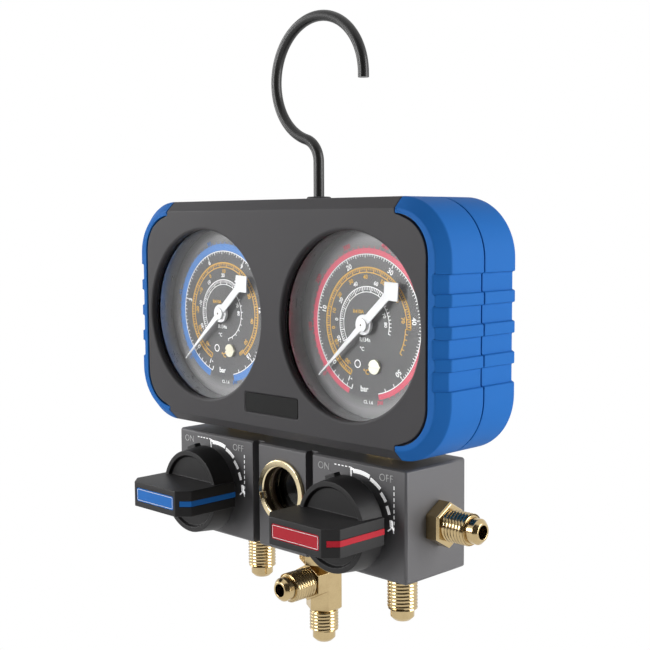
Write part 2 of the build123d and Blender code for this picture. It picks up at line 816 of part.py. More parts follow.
    # The sector's teeth drive the pinion, and its tail is pulled by the link.
    sector_root = sector_pitch_radius - dedendum * tooth_module
    sector_tip = sector_pitch_radius + sector_addendum * tooth_module
    first_tooth = 90 - (teeth_in_use - 2) * tooth_pitch
    last_tooth = first_tooth + (teeth_in_use - 1) * tooth_pitch
    fan = [(0, 0)]
    for tooth in range(teeth_in_use):
        middle = radians(first_tooth + tooth * tooth_pitch)
        fan += tooth_points(sector_teeth, middle, sector_root, sector_tip)
    window_low = radians(first_tooth + tooth_pitch)
    window_high = radians(last_tooth - tooth_pitch)
    window_middle = (window_low + window_high) / 2
    window_inner = sector_hub_radius + sector_hub_wall
    window_outer = sector_root - sector_rim
    with BuildPart() as sector:
        pivot_plane = facing_front(side_x, sector_depth, gauge_z - pivot_drop)
        with BuildSketch(pivot_plane):
            with BuildLine():
                Polyline(*fan, close=True)
            make_face()
            with BuildLine():
                spoke_low = Line(
                    (window_inner * cos(window_low), window_inner * sin(window_low)),
                    (window_outer * cos(window_low), window_outer * sin(window_low)),
                )
                ThreePointArc(
                    spoke_low @ 1,
                    (window_outer * cos(window_middle), window_outer * sin(window_middle)),
                    (window_outer * cos(window_high), window_outer * sin(window_high)),
                )
                Line(
                    (window_outer * cos(window_high), window_outer * sin(window_high)),
                    (window_inner * cos(window_high), window_inner * sin(window_high)),
                )
                ThreePointArc(
                    (window_inner * cos(window_high), window_inner * sin(window_high)),
                    (window_inner * cos(window_middle), window_inner * sin(window_middle)),
                    spoke_low @ 0,
                )
            make_face(mode=Mode.SUBTRACT)
            Circle(sector_hub_radius)
            with BuildLine():
                Line((0, 0), (tail_x, tail_z + pivot_drop))
            trace(line_width=link_width)
            with Locations((tail_x, tail_z + pivot_drop)):
                Circle(link_width / 2)
                Circle(rivet_radius + running_gap, mode=Mode.SUBTRACT)
        extrude(amount=-sector_thickness)
        with BuildSketch(facing_front(side_x, front_plate_depth, gauge_z - pivot_drop)):
            Circle(arbor_radius)
        extrude(amount=front_plate_depth - rear_plate_back + seat_gap)
    sector.part.label = f"{side}_sector"
    export_step(sector.part, f"parts/{side}_sector.step")

    with BuildPart() as link:
        with BuildSketch(face.offset(-link_depth)):
            with Locations((tail_x + link_length / 2, tail_z)):
                SlotCenterToCenter(link_length, link_width)
        extrude(amount=-link_thickness)
        with BuildSketch(face.offset(-link_depth)):
            with Locations((tail_x, tail_z)):
                Circle(rivet_radius)
        extrude(amount=link_depth - sector_depth + seat_gap)
        with BuildSketch(face.offset(-link_depth - link_thickness)):
            with Locations((tail_x + link_length, tail_z)):
                Circle(rivet_radius)
        extrude(amount=link_depth + link_thickness - rivet_end_depth)
    link.part.label = f"{side}_link"
    export_step(link.part, f"parts/{side}_link.step")

    with BuildPart() as zero_screw:
        screw_place = (zero_screw_x, -zero_screw_drop)
        with BuildSketch(face.offset(-dial_depth + zero_screw_head)):
            with Locations(screw_place):
                Circle(zero_screw_radius)
        extrude(amount=-zero_screw_head)
        with BuildSketch(face.offset(-dial_depth + zero_screw_head)):
            with Locations(screw_place):
                Rectangle(2 * zero_screw_radius, zero_screw_slot)
        extrude(amount=-zero_screw_head / 2, mode=Mode.SUBTRACT)
        with BuildSketch(face.offset(-dial_depth)):
            with Locations(screw_place):
                Circle(zero_screw_shank)
        extrude(amount=dial_depth - front_plate_depth - plate_thickness)
    zero_screw.part.label = f"{side}_zero_screw"
    export_step(zero_screw.part, f"parts/{side}_zero_screw.step")


# ---------------------------------------------------------------- manifold block
block_front = facing_front(0, block_front_depth, (block_top + block_bottom) / 2)
gallery_length = block_width / 2 + gauge_x + seat_reach + seat_ring_length
gallery_start = Plane(
    origin=(block_width / 2, ball_y, valve_z), x_dir=(0, 0, 1), z_dir=(1, 0, 0)
)
bottom_face = Plane(origin=(0, front_y, block_bottom), x_dir=(0, 1, 0), z_dir=(0, 0, -1))

with BuildPart() as manifold_block:
    with BuildSketch(block_front):
        Rectangle(block_width, block_height)
    extrude(amount=-block_depth)
    chamfer(manifold_block.edges(), block_chamfer)
    with BuildSketch(block_front):
        with Locations((-groove_x, 0), (groove_x, 0)):
            Rectangle(groove_width, block_height)
    extrude(amount=-groove_depth, mode=Mode.SUBTRACT)
    # valve chambers, bored from the front and opened out for their gland nuts
    with BuildSketch(facing_front(0, block_front_depth, valve_z)):
        with GridLocations(gauge_spacing, 0, 2, 1):
            Circle(gland_radius)
    extrude(amount=gland_face - gland_length, mode=Mode.SUBTRACT)
    with BuildSketch(facing_front(0, thread_mouth, valve_z)):
        with GridLocations(gauge_spacing, 0, 2, 1):
            Circle(chamber_radius)
    extrude(amount=thread_mouth - chamber_back, mode=Mode.SUBTRACT)
    # the gallery, drilled from the right end, and the ball seats' recesses in it
    with BuildSketch(gallery_start):
        Circle(gallery_radius)
    extrude(amount=-gallery_length, mode=Mode.SUBTRACT)
    with BuildSketch(gallery_start):
        Circle(shank_radius)
    extrude(amount=-shank_length, mode=Mode.SUBTRACT)
    for valve_x in (-gauge_x, gauge_x):
        with BuildSketch(gallery_start.offset(valve_x + seat_reach - block_width / 2)):
            Circle(seat_ring_radius)
        extrude(amount=-2 * seat_reach, mode=Mode.SUBTRACT)
    # the sight glass's bore
    with BuildSketch(facing_front(0, block_front_depth, sight_z)):
        Circle(sight_thread_radius)
    extrude(amount=block_front_depth - sight_bore_depth, mode=Mode.SUBTRACT)
    with BuildSketch(facing_front(0, block_front_depth, sight_z)):
        Circle(sight_chamber_radius)
    extrude(amount=block_front_depth - sight_chamber_depth, mode=Mode.SUBTRACT)
    # gauge threads and their passages, from the top
    with BuildSketch(Plane.XY.offset(block_top)):
        with Locations((-gauge_x, socket_y), (gauge_x, socket_y)):
            Circle(gauge_thread_radius)
    extrude(amount=-gauge_thread_length, mode=Mode.SUBTRACT)
    with BuildSketch(Plane.XY.offset(block_top)):
        with Locations((-gauge_x, socket_y), (gauge_x, socket_y)):
            Circle(gauge_bore_radius)
    extrude(amount=valve_z - block_top, mode=Mode.SUBTRACT)
    # hose ports and the charging port, from below
    with BuildSketch(bottom_face):
        with Locations(
            (bottom_port_depth, -gauge_x), (bottom_port_depth, gauge_x), (tee_depth, 0)
        ):
            Circle(shank_radius)
    extrude(amount=-shank_length, mode=Mode.SUBTRACT)
    with BuildSketch(bottom_face):
        with Locations(
            (bottom_port_depth, -gauge_x), (bottom_port_depth, gauge_x), (tee_depth, 0)
        ):
            Circle(passage_radius)
    extrude(amount=block_bottom - valve_z, mode=Mode.SUBTRACT)
manifold_block.part.label = "manifold_block"
export_step(manifold_block.part, "parts/manifold_block.step")

# ---------------------------------------------------------------- sight glass
sight_face = facing_front(0, block_front_depth, sight_z)
glass_front = block_front_depth + sight_thread_length - sight_glass_thickness
glass_radius = sight_window_radius + sight_glass_lap
with BuildPart() as sight_ring:
    with BuildSketch(sight_face):
        Circle(sight_ring_radius)
    extrude(amount=sight_flange)
    chamfer(sight_ring.faces().sort_by(Axis.Y)[0].edges(), sight_flange_bevel)
    with BuildSketch(sight_face):
        Circle(sight_thread_radius)
    extrude(amount=-sight_thread_length)
    with BuildSketch(sight_face.offset(sight_flange)):
        Circle(sight_window_radius)
    extrude(amount=-sight_flange - sight_thread_length, mode=Mode.SUBTRACT)
    with BuildSketch(sight_face.offset(block_front_depth - glass_front)):
        Circle(glass_radius)
    extrude(amount=-sight_glass_thickness, mode=Mode.SUBTRACT)
    with BuildSketch(sight_face.offset(sight_flange)):
        Rectangle(notch_width, 2 * sight_ring_radius)
        Rectangle(2 * sight_ring_radius, notch_width)
    extrude(amount=-notch_depth, mode=Mode.SUBTRACT)
sight_ring.part.label = "sight_glass_ring"
export_step(sight_ring.part, "parts/sight_glass_ring.step")

with BuildPart() as sight_glass:
    with BuildSketch(sight_face.offset(block_front_depth - glass_front)):
        Circle(glass_radius)
    extrude(amount=-sight_glass_thickness)
sight_glass.part.label = "sight_glass_lens"
export_step(sight_glass.part, "parts/sight_glass_lens.step")

with BuildPart() as sight_seal:
    with BuildSketch(sight_face.offset(-sight_thread_length)):
        Circle(sight_thread_radius)
        Circle(sight_chamber_radius, mode=Mode.SUBTRACT)
    extrude(amount=-sight_seal_thickness)
sight_seal.part.label = "sight_glass_seal"
export_step(sight_seal.part, "parts/sight_glass_seal.step")


# ---------------------------------------------------------------- flare ports
def flare_end(seat, thread_length):
    """A male flare end on a seat: the thread, then the nose with its 45 degree cone."""
    cone = flare_nose_radius - flare_tip_radius
    thread_bevel = flare_thread_radius - flare_root_radius
    tip = thread_length + flare_nose_length
    with BuildPart() as flare:
        with BuildSketch(beside_axis(seat)):
            with BuildLine():
                Polyline(
                    (0, 0),
                    (flare_root_radius, 0),
                    (flare_root_radius, thread_bevel),
                    (flare_thread_radius, 2 * thread_bevel),
                    (flare_thread_radius, thread_length - thread_bevel),
                    (flare_root_radius, thread_length),
                    (flare_nose_radius, thread_length),
                    (flare_nose_radius, tip - cone),
                    (flare_tip_radius, tip),
                    (0, tip),
                    close=True,
                )
            make_face()
        revolve(axis=Axis(seat.origin, seat.z_dir))
    return flare.part


def port_fitting(seat, flats, hex_length, thread_length):
    """A straight fitting: shank in the block, hexagon on its face, flare end outside."""
    flare = flare_end(seat.offset(hex_length), thread_length)
    with BuildPart() as fitting:
        with BuildSketch(seat):
            RegularPolygon(flats / 2, 6, major_radius=False)
        extrude(amount=hex_length)
        chamfer(fitting.faces().sort_by(Axis(seat.origin, seat.z_dir))[-1].edges(), port_hex_chamfer)
        with BuildSketch(seat):
            Circle(shank_radius)
        extrude(amount=-shank_length)
        add(flare)
        with BuildSketch(seat.offset(-shank_length)):
            Circle(flare_bore_radius)
        full_length = shank_length + hex_length + thread_length + flare_nose_length
        extrude(amount=full_length, mode=Mode.SUBTRACT)
    return fitting.part


for side, side_x in (("low", -gauge_x), ("high", gauge_x)):
    seat = Plane(
        origin=(side_x, front_y + bottom_port_depth, block_bottom),
        x_dir=(0, 1, 0),
        z_dir=(0, 0, -1),
    )
    hose_port = port_fitting(
        seat, bottom_port_hex, bottom_port_hex_length, bottom_port_thread
    )
    hose_port.label = f"{side}_side_port"
    export_step(hose_port, f"parts/{side}_side_port.step")

vacuum_port = port_fitting(
    gallery_start, side_port_hex, side_port_hex_length, side_port_thread
)
vacuum_port.label = "vacuum_port"
export_step(vacuum_port, "parts/vacuum_port.step")

# The charging tee is a hexagon bar with one flare end below and one on its arm in front.
tee_seat = Plane(
    origin=(0, front_y + tee_depth, block_bottom), x_dir=(0, 1, 0), z_dir=(0, 0, -1)
)
arm_seat = Plane(
    origin=(0, front_y + tee_depth, block_bottom - tee_arm_drop),
    x_dir=(0, 0, 1),
    z_dir=(0, -1, 0),
)
down_end = flare_end(tee_seat.offset(tee_hex_length), tee_down_thread)
arm_end = flare_end(arm_seat.offset(tee_arm_reach), tee_arm_thread)
with BuildPart() as charging_tee:
    with BuildSketch(tee_seat):
        RegularPolygon(tee_flats / 2, 6, major_radius=False)
    extrude(amount=tee_hex_length)
    chamfer(charging_tee.faces().sort_by(Axis.Z)[0].edges(), port_hex_chamfer)
    with BuildSketch(arm_seat):
        RegularPolygon(tee_flats / 2, 6, major_radius=False)
    extrude(amount=tee_arm_reach)
    with BuildSketch(tee_seat):
        RegularPolygon(tee_collar_flats / 2, 6, major_radius=False)
    extrude(amount=tee_collar_length)
    with BuildSketch(tee_seat):
        Circle(shank_radius)
    extrude(amount=-shank_length)
    add([down_end, arm_end])
    with BuildSketch(tee_seat.offset(-shank_length)):
        Circle(flare_bore_radius)
    tee_length = shank_length + tee_hex_length + tee_down_thread + flare_nose_length
    extrude(amount=tee_length, mode=Mode.SUBTRACT)
    with BuildSketch(arm_seat):
        Circle(flare_bore_radius)
    extrude(amount=tee_arm_reach + tee_arm_thread + flare_nose_length, mode=Mode.SUBTRACT)
charging_tee.part.label = "charging_tee"
export_step(charging_tee.part, "parts/charging_tee.step")

# ---------------------------------------------------------------- valves and knobs
shoulder_front = thread_mouth + seat_gap
shoulder_back = shoulder_front + shoulder_thickness
ball_slot_floor = ball_depth - ball_radius + tang_length
badge_floor = knob_front_depth + knob_badge_thickness
grip_corner_y = knob_front_depth + grip_chamfer

for side, side_x in (("low", -gauge_x), ("high", gauge_x)):
    face = facing_front(side_x, 0, valve_z)
    spindle = Axis(face.origin, face.z_dir)
    # a plane through the valve's axis: x runs to the right and y is the depth
    level = Plane(origin=face.origin, x_dir=(1, 0, 0), z_dir=(0, 0, 1))

    # The gland nut closes the chamber; its seal runs on the stem.
    with BuildPart() as gland_nut:
        with BuildSketch(face.offset(gland_face - block_front_depth)):
            Circle(gland_radius)
            Circle(valve_stem_radius + running_gap, mode=Mode.SUBTRACT)
        extrude(amount=-gland_length)
        with BuildSketch(face.offset(gland_face - block_front_depth)):
            with GridLocations(gland_radius + valve_stem_radius, 0, 2, 1):
                Circle(spanner_hole_radius)
        extrude(amount=-spanner_hole_depth, mode=Mode.SUBTRACT)
        with BuildSketch(face.offset(-thread_mouth)):
            Circle(shoulder_radius)
        extrude(amount=seal_thickness, mode=Mode.SUBTRACT)
    gland_nut.part.label = f"{side}_gland_nut"
    export_step(gland_nut.part, f"parts/{side}_gland_nut.step")

    with BuildPart() as stem_seal:
        with BuildSketch(face.offset(-thread_mouth)):
            Circle(shoulder_radius)
            Circle(valve_stem_radius + running_gap, mode=Mode.SUBTRACT)
        extrude(amount=seal_thickness)
    stem_seal.part.label = f"{side}_stem_seal"
    export_step(stem_seal.part, f"parts/{side}_stem_seal.step")

    # The ball's bore turns from its back to one side, so a quarter turn opens the gallery.
    inner_side = 1 if side == "high" else -1
    with BuildPart() as ball:
        with Locations((side_x, ball_y, valve_z)):
            Sphere(ball_radius)
        with BuildSketch(face.offset(-ball_depth)):
            Circle(gallery_radius)
        extrude(amount=-ball_radius, mode=Mode.SUBTRACT)
        with BuildSketch(Plane(origin=(side_x, ball_y, valve_z), z_dir=(0, 0, 1))):
            Circle(gallery_radius)
        extrude(amount=ball_radius * inner_side, mode=Mode.SUBTRACT)
        with BuildSketch(face.offset(-ball_slot_floor - seat_gap)):
            Rectangle(tang_width + 2 * running_gap, 2 * ball_radius)
        extrude(amount=ball_radius, mode=Mode.SUBTRACT)
    ball.part.label = f"{side}_valve_ball"
    export_step(ball.part, f"parts/{side}_valve_ball.step")

    seat_radius = ball_radius + running_gap
    ball_centre = Plane(origin=(side_x, ball_y, valve_z), x_dir=(1, 0, 0), z_dir=(0, -1, 0))
    seat_lip = asin(gallery_radius / seat_radius)
    seat_rim = asin(seat_ring_radius / seat_radius)
    seat_middle = (seat_lip + seat_rim) / 2
    with BuildPart() as ball_seats:
        with BuildSketch(ball_centre):
            with BuildLine():
                ThreePointArc(
                    (seat_radius * cos(seat_lip), seat_radius * sin(seat_lip)),
                    (seat_radius * cos(seat_middle), seat_radius * sin(seat_middle)),
                    (seat_radius * cos(seat_rim), seat_radius * sin(seat_rim)),
                )
                Polyline(
                    (seat_radius * cos(seat_rim), seat_ring_radius),
                    (seat_reach, seat_ring_radius),
                    (seat_reach, gallery_radius),
                    (seat_radius * cos(seat_lip), gallery_radius),
                )
            make_face()
        revolve(axis=Axis(ball_centre.origin, (1, 0, 0)))
        mirror(about=Plane(origin=ball_centre.origin, z_dir=(1, 0, 0)))
    ball_seats.part.label = f"{side}_ball_seats"
    export_step(ball_seats.part, f"parts/{side}_ball_seats.step")

    # The stem has a shoulder behind the gland, a tang for the ball and a flat for the knob.
    with BuildPart() as valve_stem:
        with BuildSketch(face.offset(-shoulder_front)):
            Circle(valve_stem_radius)
        extrude(amount=shoulder_front - stem_front_depth)
        with BuildSketch(face.offset(-shoulder_back)):
            Circle(shoulder_radius - seat_gap)
        extrude(amount=shoulder_thickness)
        with BuildSketch(face.offset(-shoulder_back)):
            Rectangle(tang_width, tang_span)
        extrude(amount=shoulder_back - ball_slot_floor)
        with BuildSketch(face.offset(-stem_front_depth)):
            with Locations((0, stem_flat + valve_stem_radius)):
                Rectangle(2 * valve_stem_radius, 2 * valve_stem_radius)
        extrude(amount=stem_front_depth - knob_hollow_depth, mode=Mode.SUBTRACT)
        with BuildSketch(face.offset(-stem_front_depth)):
            Circle(knob_screw_radius)
        extrude(amount=-knob_screw_length - knob_screw_end_gap, mode=Mode.SUBTRACT)
    valve_stem.part.label = f"{side}_valve_stem"
    export_step(valve_stem.part, f"parts/{side}_valve_stem.step")

    # The stripe inlays run down the grip's chamfers and along its sides.
    inlays = []
    for sign in (-1, 1):
        stripe_front = knob_front_depth + stripe_start
        slant = stripe_inlay * cos(radians(45))
        corner_step = stripe_inlay * tan(radians(22.5))
        front_x = grip_half - grip_chamfer + stripe_start
        with BuildPart() as inlay:
            with BuildSketch(level.offset(-stripe_height / 2)):
                with BuildLine():
                    Polyline(
                        (sign * front_x, stripe_front),
                        (sign * grip_half, grip_corner_y),
                        (sign * grip_half, knob_rear_depth),
                        (sign * (grip_half - stripe_inlay), knob_rear_depth),
                        (sign * (grip_half - stripe_inlay), grip_corner_y + corner_step),
                        (sign * (front_x - slant), stripe_front + slant),
                        close=True,
                    )
                make_face()
            extrude(amount=stripe_height)
        inlays.append(inlay.part)
    with BuildPart() as knob_stripes:
        add(inlays)
    knob_stripes.part.label = f"{side}_knob_stripes"
    export_step(knob_stripes.part, f"parts/{side}_knob_stripes.step")

    with BuildPart() as knob:
        with BuildSketch(level):
            with BuildLine():
                Polyline(
                    (0, knob_rear_depth),
                    (knob_rear_radius, knob_rear_depth),
                    (knob_rim_radius, knob_rim_depth),
                    (knob_dish_radius + knob_dish_bevel, knob_rim_depth),
                    (knob_dish_radius, knob_face_depth),
                    (0, knob_face_depth),
                    close=True,
                )
            make_face()
        revolve(axis=spindle)
        # the grip bar across the dish, as deep as the whole knob
        with BuildSketch(face.offset(-knob_rear_depth)):
            Rectangle(2 * grip_half, grip_thickness)
        extrude(amount=knob_length)
        outer_edges = knob.edges().filter_by(Axis.Z).group_by(Axis.Y)[0]
        chamfer(outer_edges, grip_chamfer)
        # a small lug on the skirt's rear edge
        with BuildSketch(face.offset(-knob_rear_depth)):
            with PolarLocations(knob_rear_radius, 1, start_angle=lug_angle):
                Rectangle(2 * lug_reach, lug_width)
        extrude(amount=lug_length)
        # the hollow behind, round the hub
        with BuildSketch(face.offset(-knob_rear_depth)):
            Circle(knob_rim_radius - knob_shell)
            Circle(hub_radius, mode=Mode.SUBTRACT)
        extrude(amount=knob_rear_depth - knob_hollow_depth, mode=Mode.SUBTRACT)
        with BuildSketch(face.offset(-knob_rear_depth)):
            Circle(valve_stem_radius)
        extrude(amount=knob_rear_depth - stem_front_depth, mode=Mode.SUBTRACT)
        with BuildSketch(face.offset(-knob_hollow_depth)):
            with Locations((0, stem_flat + valve_stem_radius)):
                Rectangle(2 * valve_stem_radius, 2 * valve_stem_radius)
            Circle(valve_stem_radius, mode=Mode.INTERSECT)
        extrude(amount=knob_hollow_depth - stem_front_depth)
        # the badge's pocket, and the screw under it
        with BuildSketch(face.offset(-knob_front_depth)):
            RectangleRounded(knob_badge_width, knob_badge_height, badge_corner)
        extrude(amount=-knob_badge_thickness, mode=Mode.SUBTRACT)
        with BuildSketch(face.offset(-badge_floor)):
            Circle(knob_screw_head_radius)
        extrude(amount=-knob_screw_head, mode=Mode.SUBTRACT)
        with BuildSketch(face.offset(-badge_floor)):
            Circle(knob_screw_radius)
        extrude(amount=badge_floor - stem_front_depth, mode=Mode.SUBTRACT)
        add(knob_stripes.part, mode=Mode.SUBTRACT)
    knob.part.label = f"{side}_knob"
    export_step(knob.part, f"parts/{side}_knob.step")

    with BuildPart() as knob_badge:
        with BuildSketch(face.offset(-badge_floor)):
            RectangleRounded(knob_badge_width, knob_badge_height, badge_corner)
        extrude(amount=knob_badge_thickness)
    knob_badge.part.label = f"{side}_knob_badge"
    export_step(knob_badge.part, f"parts/{side}_knob_badge.step")

    with BuildPart() as knob_screw:
        with BuildSketch(face.offset(-badge_floor)):
            Circle(knob_screw_head_radius)
        extrude(amount=-knob_screw_head)
        with BuildSketch(face.offset(-badge_floor)):
            Circle(knob_screw_radius)
        extrude(amount=badge_floor - stem_front_depth - knob_screw_length)
    knob_screw.part.label = f"{side}_knob_screw"
    export_step(knob_screw.part, f"parts/{side}_knob_screw.step")
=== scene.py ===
import bpy
import json
import math
from mathutils import Matrix, Vector


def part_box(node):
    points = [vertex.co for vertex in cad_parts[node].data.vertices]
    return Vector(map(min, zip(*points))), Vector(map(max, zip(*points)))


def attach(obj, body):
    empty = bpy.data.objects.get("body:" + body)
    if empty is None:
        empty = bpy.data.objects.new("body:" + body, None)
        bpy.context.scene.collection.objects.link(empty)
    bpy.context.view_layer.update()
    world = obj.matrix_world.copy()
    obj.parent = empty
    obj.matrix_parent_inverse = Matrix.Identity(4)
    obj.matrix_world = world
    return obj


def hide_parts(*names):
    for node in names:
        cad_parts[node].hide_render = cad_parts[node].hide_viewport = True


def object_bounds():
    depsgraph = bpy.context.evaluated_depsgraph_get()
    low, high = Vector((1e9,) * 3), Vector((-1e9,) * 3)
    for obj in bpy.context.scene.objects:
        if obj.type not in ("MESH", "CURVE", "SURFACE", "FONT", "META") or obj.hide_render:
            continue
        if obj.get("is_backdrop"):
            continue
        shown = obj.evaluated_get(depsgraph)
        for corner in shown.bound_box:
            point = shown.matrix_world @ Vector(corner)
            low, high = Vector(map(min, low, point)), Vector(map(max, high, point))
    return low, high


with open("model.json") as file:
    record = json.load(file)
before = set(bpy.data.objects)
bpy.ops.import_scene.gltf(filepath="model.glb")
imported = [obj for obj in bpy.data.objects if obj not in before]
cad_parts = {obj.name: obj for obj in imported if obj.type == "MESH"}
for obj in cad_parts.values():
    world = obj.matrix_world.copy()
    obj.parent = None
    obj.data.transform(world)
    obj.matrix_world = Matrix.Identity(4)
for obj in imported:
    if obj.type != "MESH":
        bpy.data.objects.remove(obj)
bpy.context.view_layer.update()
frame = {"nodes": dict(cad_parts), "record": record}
nodes = frame["nodes"]
record = frame["record"]
slotOf = {part["node"]: part["material_slot"] for part in record["subparts"]}
bodyOf = {
    node: body for body, members in record["behaviour"]["bodies"].items() for node in members}
mounts = {mount["name"]: mount for mount in record["mounts"]}

# settings are in millimetres and degrees; the camera, the lamps and the floor are in metres
mm = 0.001
sides = ("low", "high")
dialBox = {side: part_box(side + "_dial") for side in sides}
gaugeX = {side: (dialBox[side][0].x + dialBox[side][1].x) / 2 for side in sides}
gaugeZ = (dialBox["high"][0].z + dialBox["high"][1].z) / 2
dialFront = dialBox["high"][0].y
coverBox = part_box("front_cover")
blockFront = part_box("manifold_block")[0].y
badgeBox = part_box("high_knob_badge")
valveZ = (badgeBox[0].z + badgeBox[1].z) / 2
print("frame loaded:", len(nodes), "nodes")


def letGo():
    if bpy.context.object and bpy.context.object.mode != "OBJECT":
        bpy.ops.object.mode_set(mode="OBJECT")
    bpy.ops.object.select_all(action="DESELECT")


def pick(*pieces):
    letGo()
    for piece in pieces:
        piece.select_set(True)
    bpy.context.view_layer.objects.active = pieces[0]


def justAdded(name):
    piece = bpy.context.object
    piece.name = name
    piece.data.name = name
    return piece


def settle(piece):
    pick(piece)
    bpy.ops.object.transform_apply(location=True, rotation=True, scale=True)
    return piece


def applyAll(piece):
    pick(piece)
    for modifier in list(piece.modifiers):
        bpy.ops.object.modifier_apply(modifier=modifier.name)
    return piece


def joined(name, pieces):
    pick(*pieces)
    if len(pieces) > 1:
        bpy.ops.object.join()
    return justAdded(name)


def inRadians(angles):
    return tuple(math.radians(angle) for angle in angles)


# edit mode with all of the piece selected
def editWhole(piece):
    pick(piece)
    bpy.ops.object.mode_set(mode="EDIT")
    bpy.ops.mesh.select_all(action="SELECT")


# selects the faces, edges or vertices of the edited piece that a test is true for
def selectWhere(piece, kind, test):
    bpy.ops.mesh.select_mode(type=kind)
    bpy.ops.mesh.select_all(action="DESELECT")
    bpy.ops.object.mode_set(mode="OBJECT")
    members = {"VERT": piece.data.vertices, "EDGE": piece.data.edges, "FACE": piece.data.polygons}
    for member in members[kind]:
        member.select = test(member)
    bpy.ops.object.mode_set(mode="EDIT")


def slicedAt(place, direction, **options):
    bpy.ops.mesh.select_all(action="SELECT")
    bpy.ops.mesh.bisect(plane_co=place, plane_no=direction, **options)


# leaves edit mode with all faces pointing outwards
def closeOutwards():
    bpy.ops.mesh.select_all(action="SELECT")
    bpy.ops.mesh.normals_make_consistent(inside=False)
    bpy.ops.object.mode_set(mode="OBJECT")


def smoothByAngle(piece, angle=35):
    pick(piece)
    bpy.ops.object.shade_smooth_by_angle(angle=math.radians(angle))
    weighted = piece.modifiers.new("weighted", "WEIGHTED_NORMAL")
    weighted.keep_sharp = True
    weighted.weight = 80
    return applyAll(piece)


# edges that turn by more than the limit are rounded
def softenEdges(piece, width, limit):
    bevel = piece.modifiers.new("soften", "BEVEL")
    bevel.width = width * mm
    bevel.segments = 2
    bevel.limit_method = "ANGLE"
    bevel.angle_limit = math.radians(limit)
    bevel.miter_outer = "MITER_ARC"
    bevel.use_clamp_overlap = False
    return applyAll(piece)


# how near points are merged in a node's copy, a turned piece and a thread, and the angle
# below which a copy's faces count as one flat face
merging = {"copy": 0.002, "turned": 0.0001, "thread": 0.001, "flat": 0.4}


# a merged copy of a CAD node, its flat faces made whole and then parted through their openings
def fromNode(nodeName, name, partings=()):
    data = nodes[nodeName].data.copy()
    data.materials.clear()
    piece = bpy.data.objects.new(name, data)
    bpy.context.collection.objects.link(piece)
    editWhole(piece)
    bpy.ops.mesh.remove_doubles(threshold=merging["copy"] * mm)
    bpy.ops.mesh.dissolve_limited(angle_limit=math.radians(merging["flat"]))
    for axis, place in partings:
        along = [1.0 if axis == letter else 0.0 for letter in "xyz"]
        slicedAt([place * share for share in along], along)
    bpy.ops.object.mode_set(mode="OBJECT")
    return piece


def cutWith(piece, tool):
    cut = piece.modifiers.new("cut", "BOOLEAN")
    cut.operation = "DIFFERENCE"
    cut.solver = "EXACT"
    cut.object = tool
    applyAll(piece)
    bpy.data.objects.remove(tool)


# a box that cuts, from its size, middle and turn
def cutter(name, size, place, turn):
    bpy.ops.mesh.primitive_cube_add(size=1, location=place)
    tool = justAdded(name)
    tool.scale = [length * mm for length in size]
    tool.rotation_euler = inRadians(turn)
    return settle(tool)


# a round piece about Z; the profile is pairs of place along the axis and radius
def turned(name, profile, steps):
    profile = [(place * mm, radius * mm) for place, radius in profile]
    letGo()
    bpy.ops.mesh.primitive_circle_add(
        vertices=steps, radius=profile[0][1], location=(0, 0, profile[0][0]))
    piece = settle(justAdded(name))
    editWhole(piece)
    for (z0, r0), (z1, r1) in zip(profile, profile[1:]):
        bpy.ops.mesh.extrude_region_move(TRANSFORM_OT_translate={"value": (0, 0, z1 - z0)})
        if r1 != r0:
            bpy.ops.transform.resize(value=(r1 / r0, r1 / r0, 1), center_override=(0, 0, z1))
    bpy.ops.mesh.select_all(action="SELECT")
    bpy.ops.mesh.remove_doubles(threshold=merging["turned"] * mm)
    bpy.ops.mesh.fill_holes(sides=0)
    closeOutwards()
    return piece


def layAlong(piece, start, direction):
    turn = Vector((0, 0, 1)).rotation_difference(Vector(direction))
    piece.data.transform(Matrix.Translation(Vector(start)) @ turn.to_matrix().to_4x4())
    return piece


def plain(name, colour, roughness, metallic=0.0, specular=0.5):
    material = bpy.data.materials.new(name)
    material.use_nodes = True
    shader = material.node_tree.nodes["Principled BSDF"]
    shader.inputs["Base Color"].default_value = (*colour, 1)
    shader.inputs["Roughness"].default_value = roughness
    shader.inputs["Metallic"].default_value = metallic
    shader.inputs["Specular IOR Level"].default_value = specular
    return material


bpy.context.scene.view_settings.view_transform = "Standard"

# camera, a little above the gauges and to their right
view = {
    "sensor": 36, "lens": 63.78, "nearest": 0.01, "place": (0.30642, -0.30412, -0.07382),
    "turn": 44.95, "tilt": 84.93, "roll": -0.296,
}
camera = bpy.data.objects.new("camera", bpy.data.cameras.new("camera"))
bpy.context.collection.objects.link(camera)
bpy.context.scene.camera = camera
camera.data.sensor_width = view["sensor"]
camera.data.lens = view["lens"]
camera.data.clip_start = view["nearest"]
camera.location = view["place"]
aim = Matrix.Identity(3)
for angle, axis in ((view["turn"], "Z"), (view["tilt"], "X"), (view["roll"], "Z")):
    aim = aim @ Matrix.Rotation(math.radians(angle), 3, axis)
camera.rotation_euler = aim.to_euler()


# white where a camera, glossy or transmission ray ends, plain for all others
def whiteToEye(tree, plainSocket, whiteSocket, endSocket):
    paths = tree.nodes.new("ShaderNodeLightPath")
    last = paths.outputs["Is Camera Ray"]
    for kind in ("Is Glossy Ray", "Is Transmission Ray"):
        larger = tree.nodes.new("ShaderNodeMath")
        larger.operation = "MAXIMUM"
        tree.links.new(last, larger.inputs[0])
        tree.links.new(paths.outputs[kind], larger.inputs[1])
        last = larger.outputs[0]
    mix = tree.nodes.new("ShaderNodeMixShader")
    tree.links.new(last, mix.inputs[0])
    tree.links.new(plainSocket, mix.inputs[1])
    tree.links.new(whiteSocket, mix.inputs[2])
    tree.links.new(mix.outputs[0], endSocket)


